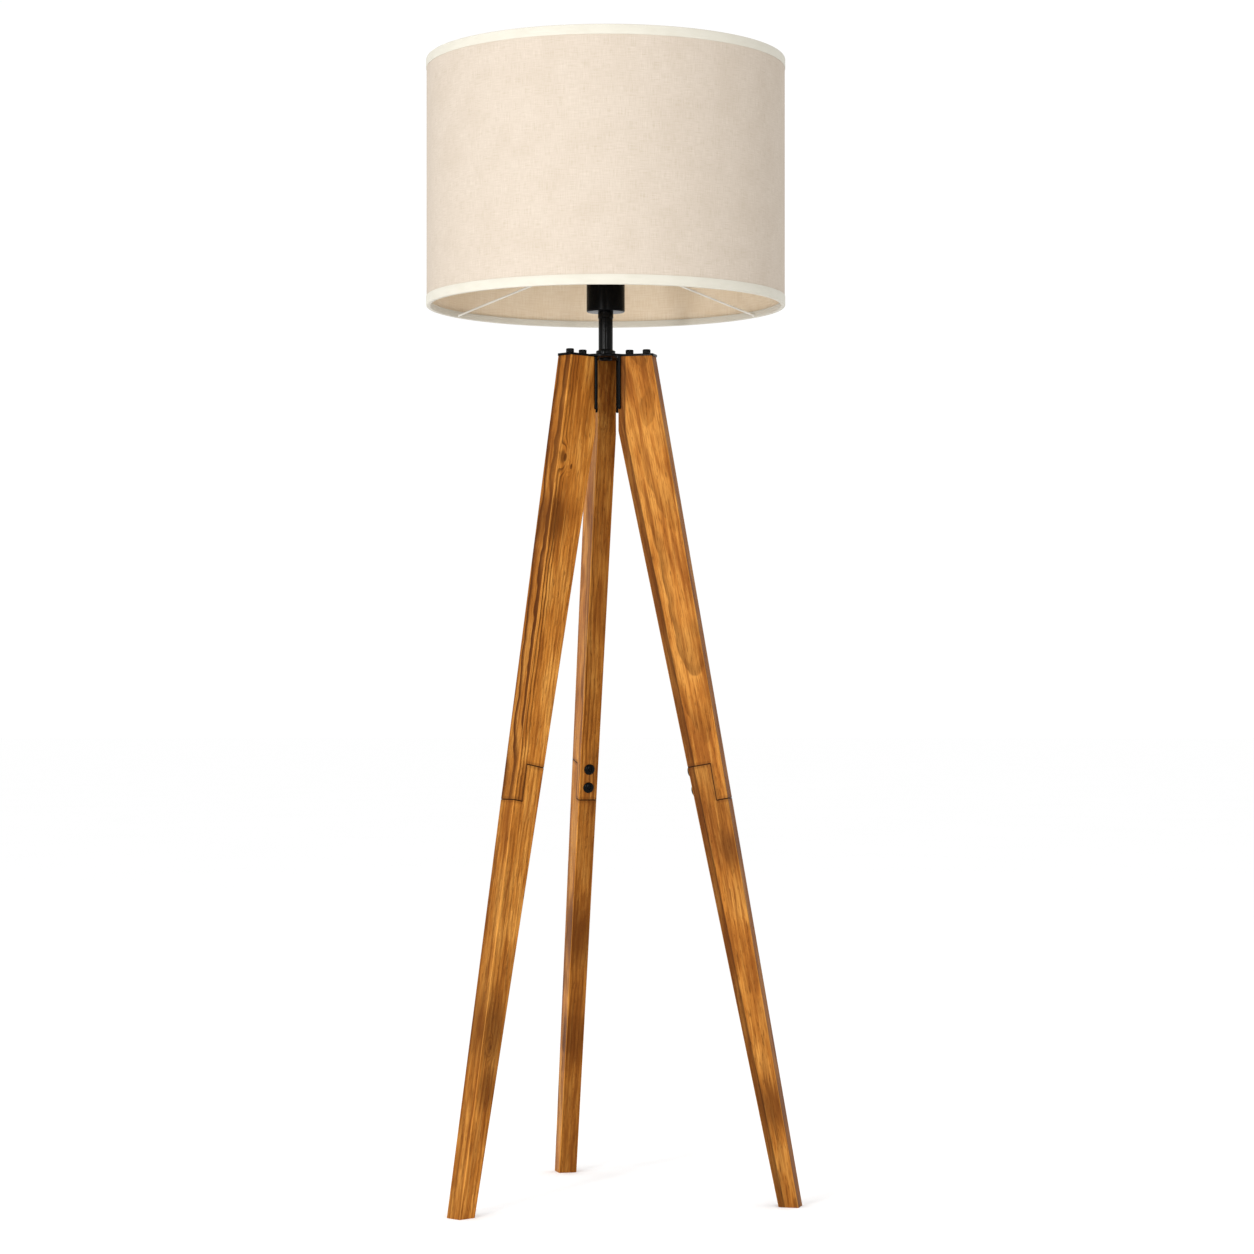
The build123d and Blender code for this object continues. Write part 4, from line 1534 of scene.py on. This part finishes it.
@dataclass
class Shade:
    """The drum shade: cloth, backing film, bindings, wires and carrier."""

    segments: int = 240
    cloth_thickness: float = 0.5 * MM
    film_thickness: float = 0.7 * MM
    tape_thickness: float = 0.6 * MM
    tape_width: float = 24 * MM
    edge_thickness: float = 5.5 * MM
    inner_leaf_drop: float = 4 * MM
    wire_radius: float = 1.5 * MM
    fitter_bore: float = 20 * MM
    arm_radius: float = 1.35 * MM
    arm_azimuths: tuple[float, float, float] = (15.0, 135.0, 255.0)
    arm_swells: tuple[tuple[float, float], ...] = (
        (0.0, 1.45), (0.012, 1.4), (0.022, 1.05), (0.05, 1.0), (0.5, 1.0), (0.95, 1.0),
        (0.985, 1.05), (0.993, 1.3), (1.0, 1.45),
    )
    seam_azimuth: float = 75.0
    seam_reach: float = 1.6
    seam_rise: float = 0.35 * MM
    tape: Tape = Tape()
    linen: Linen = Linen()
    film: Film = Film()

    def wall(self, node: str, name: str, thickness: float, rows: int = 12) -> bpy.types.Object:
        """Model one layer of the drum's wall as a thin closed shell.

        Args:
            node: The part that gives its size.
            name: The piece's name.
            thickness: The layer's thickness.
            rows: Bands of faces up the wall.

        Returns:
            The shell.
        """
        low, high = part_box(node)
        heights = [low.z + (high.z - low.z) * i / rows for i in range(rows + 1)]
        inside = [(high.x - thickness, z) for z in reversed(heights)]
        outline = [(high.x, z) for z in heights] + inside
        return Bench.turned(name, outline, self.segments, Ends.LOOP, 60)

    def overlap(self, cloth: bpy.types.Object) -> None:
        """Raise a narrow upright band, where the cloth's two ends overlap at the back.

        Args:
            cloth: The cloth, before it is dressed.
        """
        outer = max(math.hypot(v.co.x, v.co.y) for v in cloth.data.vertices)

        def in_band(place: Vector) -> bool:
            """Tell whether a point is on the outside of the overlap."""
            turn = math.degrees(math.atan2(place.y, place.x)) - self.seam_azimuth
            return abs(turn) < self.seam_reach and math.hypot(place.x, place.y) > outer - 0.1 * MM

        share = 1 + self.seam_rise / outer
        Bench.reshape(cloth, in_band, (share, share, 1))

    def binding(self, node: str, name: str, upwards: bool) -> bpy.types.Object:
        """Model the folded tape on one edge of the wall.

        Args:
            node: The part that gives its size.
            name: The piece's name.
            upwards: True if the tape's two free edges point up.

        Returns:
            The tape as a closed ring.
        """
        low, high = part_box(node)
        thick, soft = self.tape_thickness, 0.15 * MM
        outer, leaf = high.x, high.x - self.edge_thickness
        bend, crease = 1.3 * MM, 0.8 * MM
        inset = thick + crease
        fold, free, sign = (low.z, high.z, 1) if upwards else (high.z, low.z, -1)

        def at(rise: float) -> float:
            """The height at a distance from the fold."""
            return fold + sign * rise

        end = abs(free - fold)
        inner_end = end - self.inner_leaf_drop
        outline = [
            (outer - thick, at(end)), (outer - soft, at(end)), (outer, at(end - 2 * soft)),
            (outer, at(end / 2)),
            *arc((outer - bend, at(bend)), (bend, sign * bend), 0, -90, 6),
            *arc((leaf + bend, at(bend)), (bend, sign * bend), -90, -180, 6),
            (leaf, at(end / 3)), (leaf, at(inner_end - 2 * soft)), (leaf + soft, at(inner_end)),
            (leaf + thick, at(inner_end)), (leaf + thick, at(inset)),
            *arc((leaf + inset, at(inset)), (crease, sign * crease), 180, 270, 4),
            *arc((outer - inset, at(inset)), (crease, sign * crease), 270, 360, 4),
        ]
        return Bench.turned(name, outline, self.segments, Ends.LOOP, 55)

    def wire_ring(self, node: str, name: str) -> bpy.types.Object:
        """Turn a round wire ring.

        Args:
            node: The part that gives its size.
            name: The piece's name.

        Returns:
            The ring.
        """
        low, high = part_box(node)
        centre = (high.x - self.wire_radius, (low.z + high.z) / 2)
        outline = arc(centre, (self.wire_radius, self.wire_radius), 0, 337.5, 15)
        return Bench.turned(name, outline, 192, Ends.LOOP, 60)

    def carrier_ring(self) -> bpy.types.Object:
        """Turn the flat ring that sits on the lampholder.

        Returns:
            The ring.
        """
        low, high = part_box("shade_carrier_ring")
        edge, bore, soft = high.x, self.fitter_bore, 0.35 * MM
        lower = [
            (bore, low.z + soft), (bore + soft, low.z), (edge - soft, low.z), (edge, low.z + soft),
        ]
        upper = [(radius, low.z + high.z - height) for radius, height in reversed(lower)]
        return Bench.turned("shade_fitter_ring", lower + upper, 128, Ends.LOOP)

    def carrier_arms(self) -> bpy.types.Object:
        """Draw one carrier arm with its weld beads, and copy it to the three directions.

        Returns:
            The three arms.
        """
        ring_low, ring_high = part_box("shade_carrier_ring")
        rim_low, rim_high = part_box("shade_bottom_ring")
        overlap = 1 * MM
        start = Vector((ring_high.x - overlap, 0, (ring_low.z + ring_high.z) / 2))
        rim_inside = rim_high.x - 2 * self.wire_radius
        end = Vector((rim_inside + overlap, 0, (rim_low.z + rim_high.z) / 2))
        line = [(start.lerp(end, t), self.arm_radius * swell) for t, swell in self.arm_swells]
        arm = Bench.wire("carrier_arm", line)
        turns = [Matrix.Rotation(math.radians(azimuth), 4, "Z") for azimuth in self.arm_azimuths]
        return Bench.repeat("shade_arms", arm, turns)

    def build(self) -> None:
        """Model and dress the whole shade."""
        cloth = self.wall("shade_fabric", "shade_cloth", self.cloth_thickness)
        self.overlap(cloth)
        stand_in(cloth, self.linen.material("linen"), "shade", "shade_fabric")
        lining = self.wall("shade_backing", "shade_lining", self.film_thickness)
        film = self.film.material("backing_film")
        stand_in(lining, film, "shade", "shade_backing")
        tape = self.tape.material("cotton_tape")
        for end, upwards in (("bottom", True), ("top", False)):
            binding = self.binding(f"shade_{end}_trim", f"{end}_binding", upwards)
            stand_in(binding, tape, "shade", f"shade_{end}_trim")
        enamel = WHITE_ENAMEL.material("white_enamel")
        for end in ("bottom", "top"):
            ring = self.wire_ring(f"shade_{end}_ring", f"{end}_wire")
            stand_in(ring, enamel, "shade", f"shade_{end}_ring")
        stand_in(self.carrier_ring(), enamel, "shade", "shade_carrier_ring")
        stand_in(self.carrier_arms(), enamel, "shade", "shade_carrier_arms")


@dataclass(frozen=True)
class SoftBox:
    """A soft light that faces the lamp, turned from the camera's side in degrees to the right."""

    name: str
    turn: float
    distance: float
    height: float
    width: float
    power: float
    length: float = 1.6
    aim_height: float = 0.9

    def hang(self, azimuth: float) -> None:
        """Hang the light.

        Args:
            azimuth: The camera's direction, in degrees.
        """
        Bench.clear()
        angle = math.radians(azimuth + self.turn)
        across, back = self.distance * math.sin(angle), -self.distance * math.cos(angle)
        place = Vector((across, back, self.height))
        bpy.ops.object.light_add(type="AREA", location=place)
        lamp = bpy.context.object
        lamp.name = self.name
        lamp.data.shape = "RECTANGLE"
        lamp.data.size, lamp.data.size_y = self.width, self.length
        lamp.data.energy = self.power
        aim = Vector((0, 0, self.aim_height)) - place
        lamp.rotation_euler = aim.to_track_quat("-Z", "Y").to_euler()


@dataclass
class Studio:
    """A pale floor, soft lights and the camera."""

    distance: float = 4.1
    height: float = 0.617
    azimuth: float = -14.7
    lens: float = 93.8
    shift_x: float = 0.017
    shift_y: float = 0.063
    sky_strength: float = 1.02
    floor_radius: float = 60.0
    pale: tuple[Colour, Colour] = ((0.97, 0.97, 0.97), (0.985, 0.985, 0.985))
    lights: tuple[SoftBox, ...] = (
        SoftBox("key", turn=-50.0, distance=3.4, height=1.9, width=0.9, power=20.0),
        SoftBox("left_strip", turn=-27.0, distance=3.4, height=0.95, width=0.24, power=49.0),
        SoftBox("right_strip", turn=12.6, distance=3.6, height=0.95, width=0.08, power=17.0),
    )

    def floor(self) -> None:
        """Lay a wide pale floor."""
        Bench.clear()
        bpy.ops.mesh.primitive_circle_add(
            vertices=96, radius=self.floor_radius, fill_type="NGON", location=(0, 0, 0)
        )
        ground = Bench.settle("floor")
        s = Shader("pale_floor")
        cloud = s.cloud(s.coordinates, (1.5, 1.5, 1.5))
        colour = s.mixed(cloud, *self.pale)
        finish(ground, s.dress(Base_Color=colour, Roughness=0.9, Specular_IOR_Level=0.0))

    def sky(self) -> None:
        """Surround the lamp with even white light."""
        world = bpy.data.worlds.new("studio")
        bpy.context.scene.world = world
        world.use_nodes = True
        background = world.node_tree.nodes["Background"]
        background.inputs[0].default_value = (1.0, 1.0, 1.0, 1.0)
        background.inputs[1].default_value = self.sky_strength

    def camera(self) -> None:
        """Stand the camera level, in front of the lamp and a little to its left."""
        turn = math.radians(self.azimuth)
        place = (self.distance * math.sin(turn), -self.distance * math.cos(turn), self.height)
        Bench.clear()
        bpy.ops.object.camera_add(location=place, rotation=(math.pi / 2, 0, turn))
        camera = bpy.context.object
        camera.data.lens = self.lens
        camera.data.sensor_width = 36.0
        camera.data.shift_x = self.shift_x
        camera.data.shift_y = self.shift_y
        camera.data.clip_end = 200.0
        bpy.context.scene.camera = camera

    def build(self) -> None:
        """Set up the floor, the lights and the camera."""
        self.floor()
        self.sky()
        for box in self.lights:
            box.hang(self.azimuth)
        self.camera()
        bpy.context.scene.view_settings.view_transform = "Standard"


def main() -> None:
    """Build every sub-assembly and write both boxes."""
    logging.basicConfig(level=logging.INFO, format="%(message)s")
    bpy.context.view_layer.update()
    for assembly in (Studio(), Legs(), Metalwork(), Lampholder(), Bulb(), Shade()):
        log.info("%s: %s", type(assembly).__name__, assembly.__doc__)
        assembly.build()


if __name__ == "__main__":
    main()
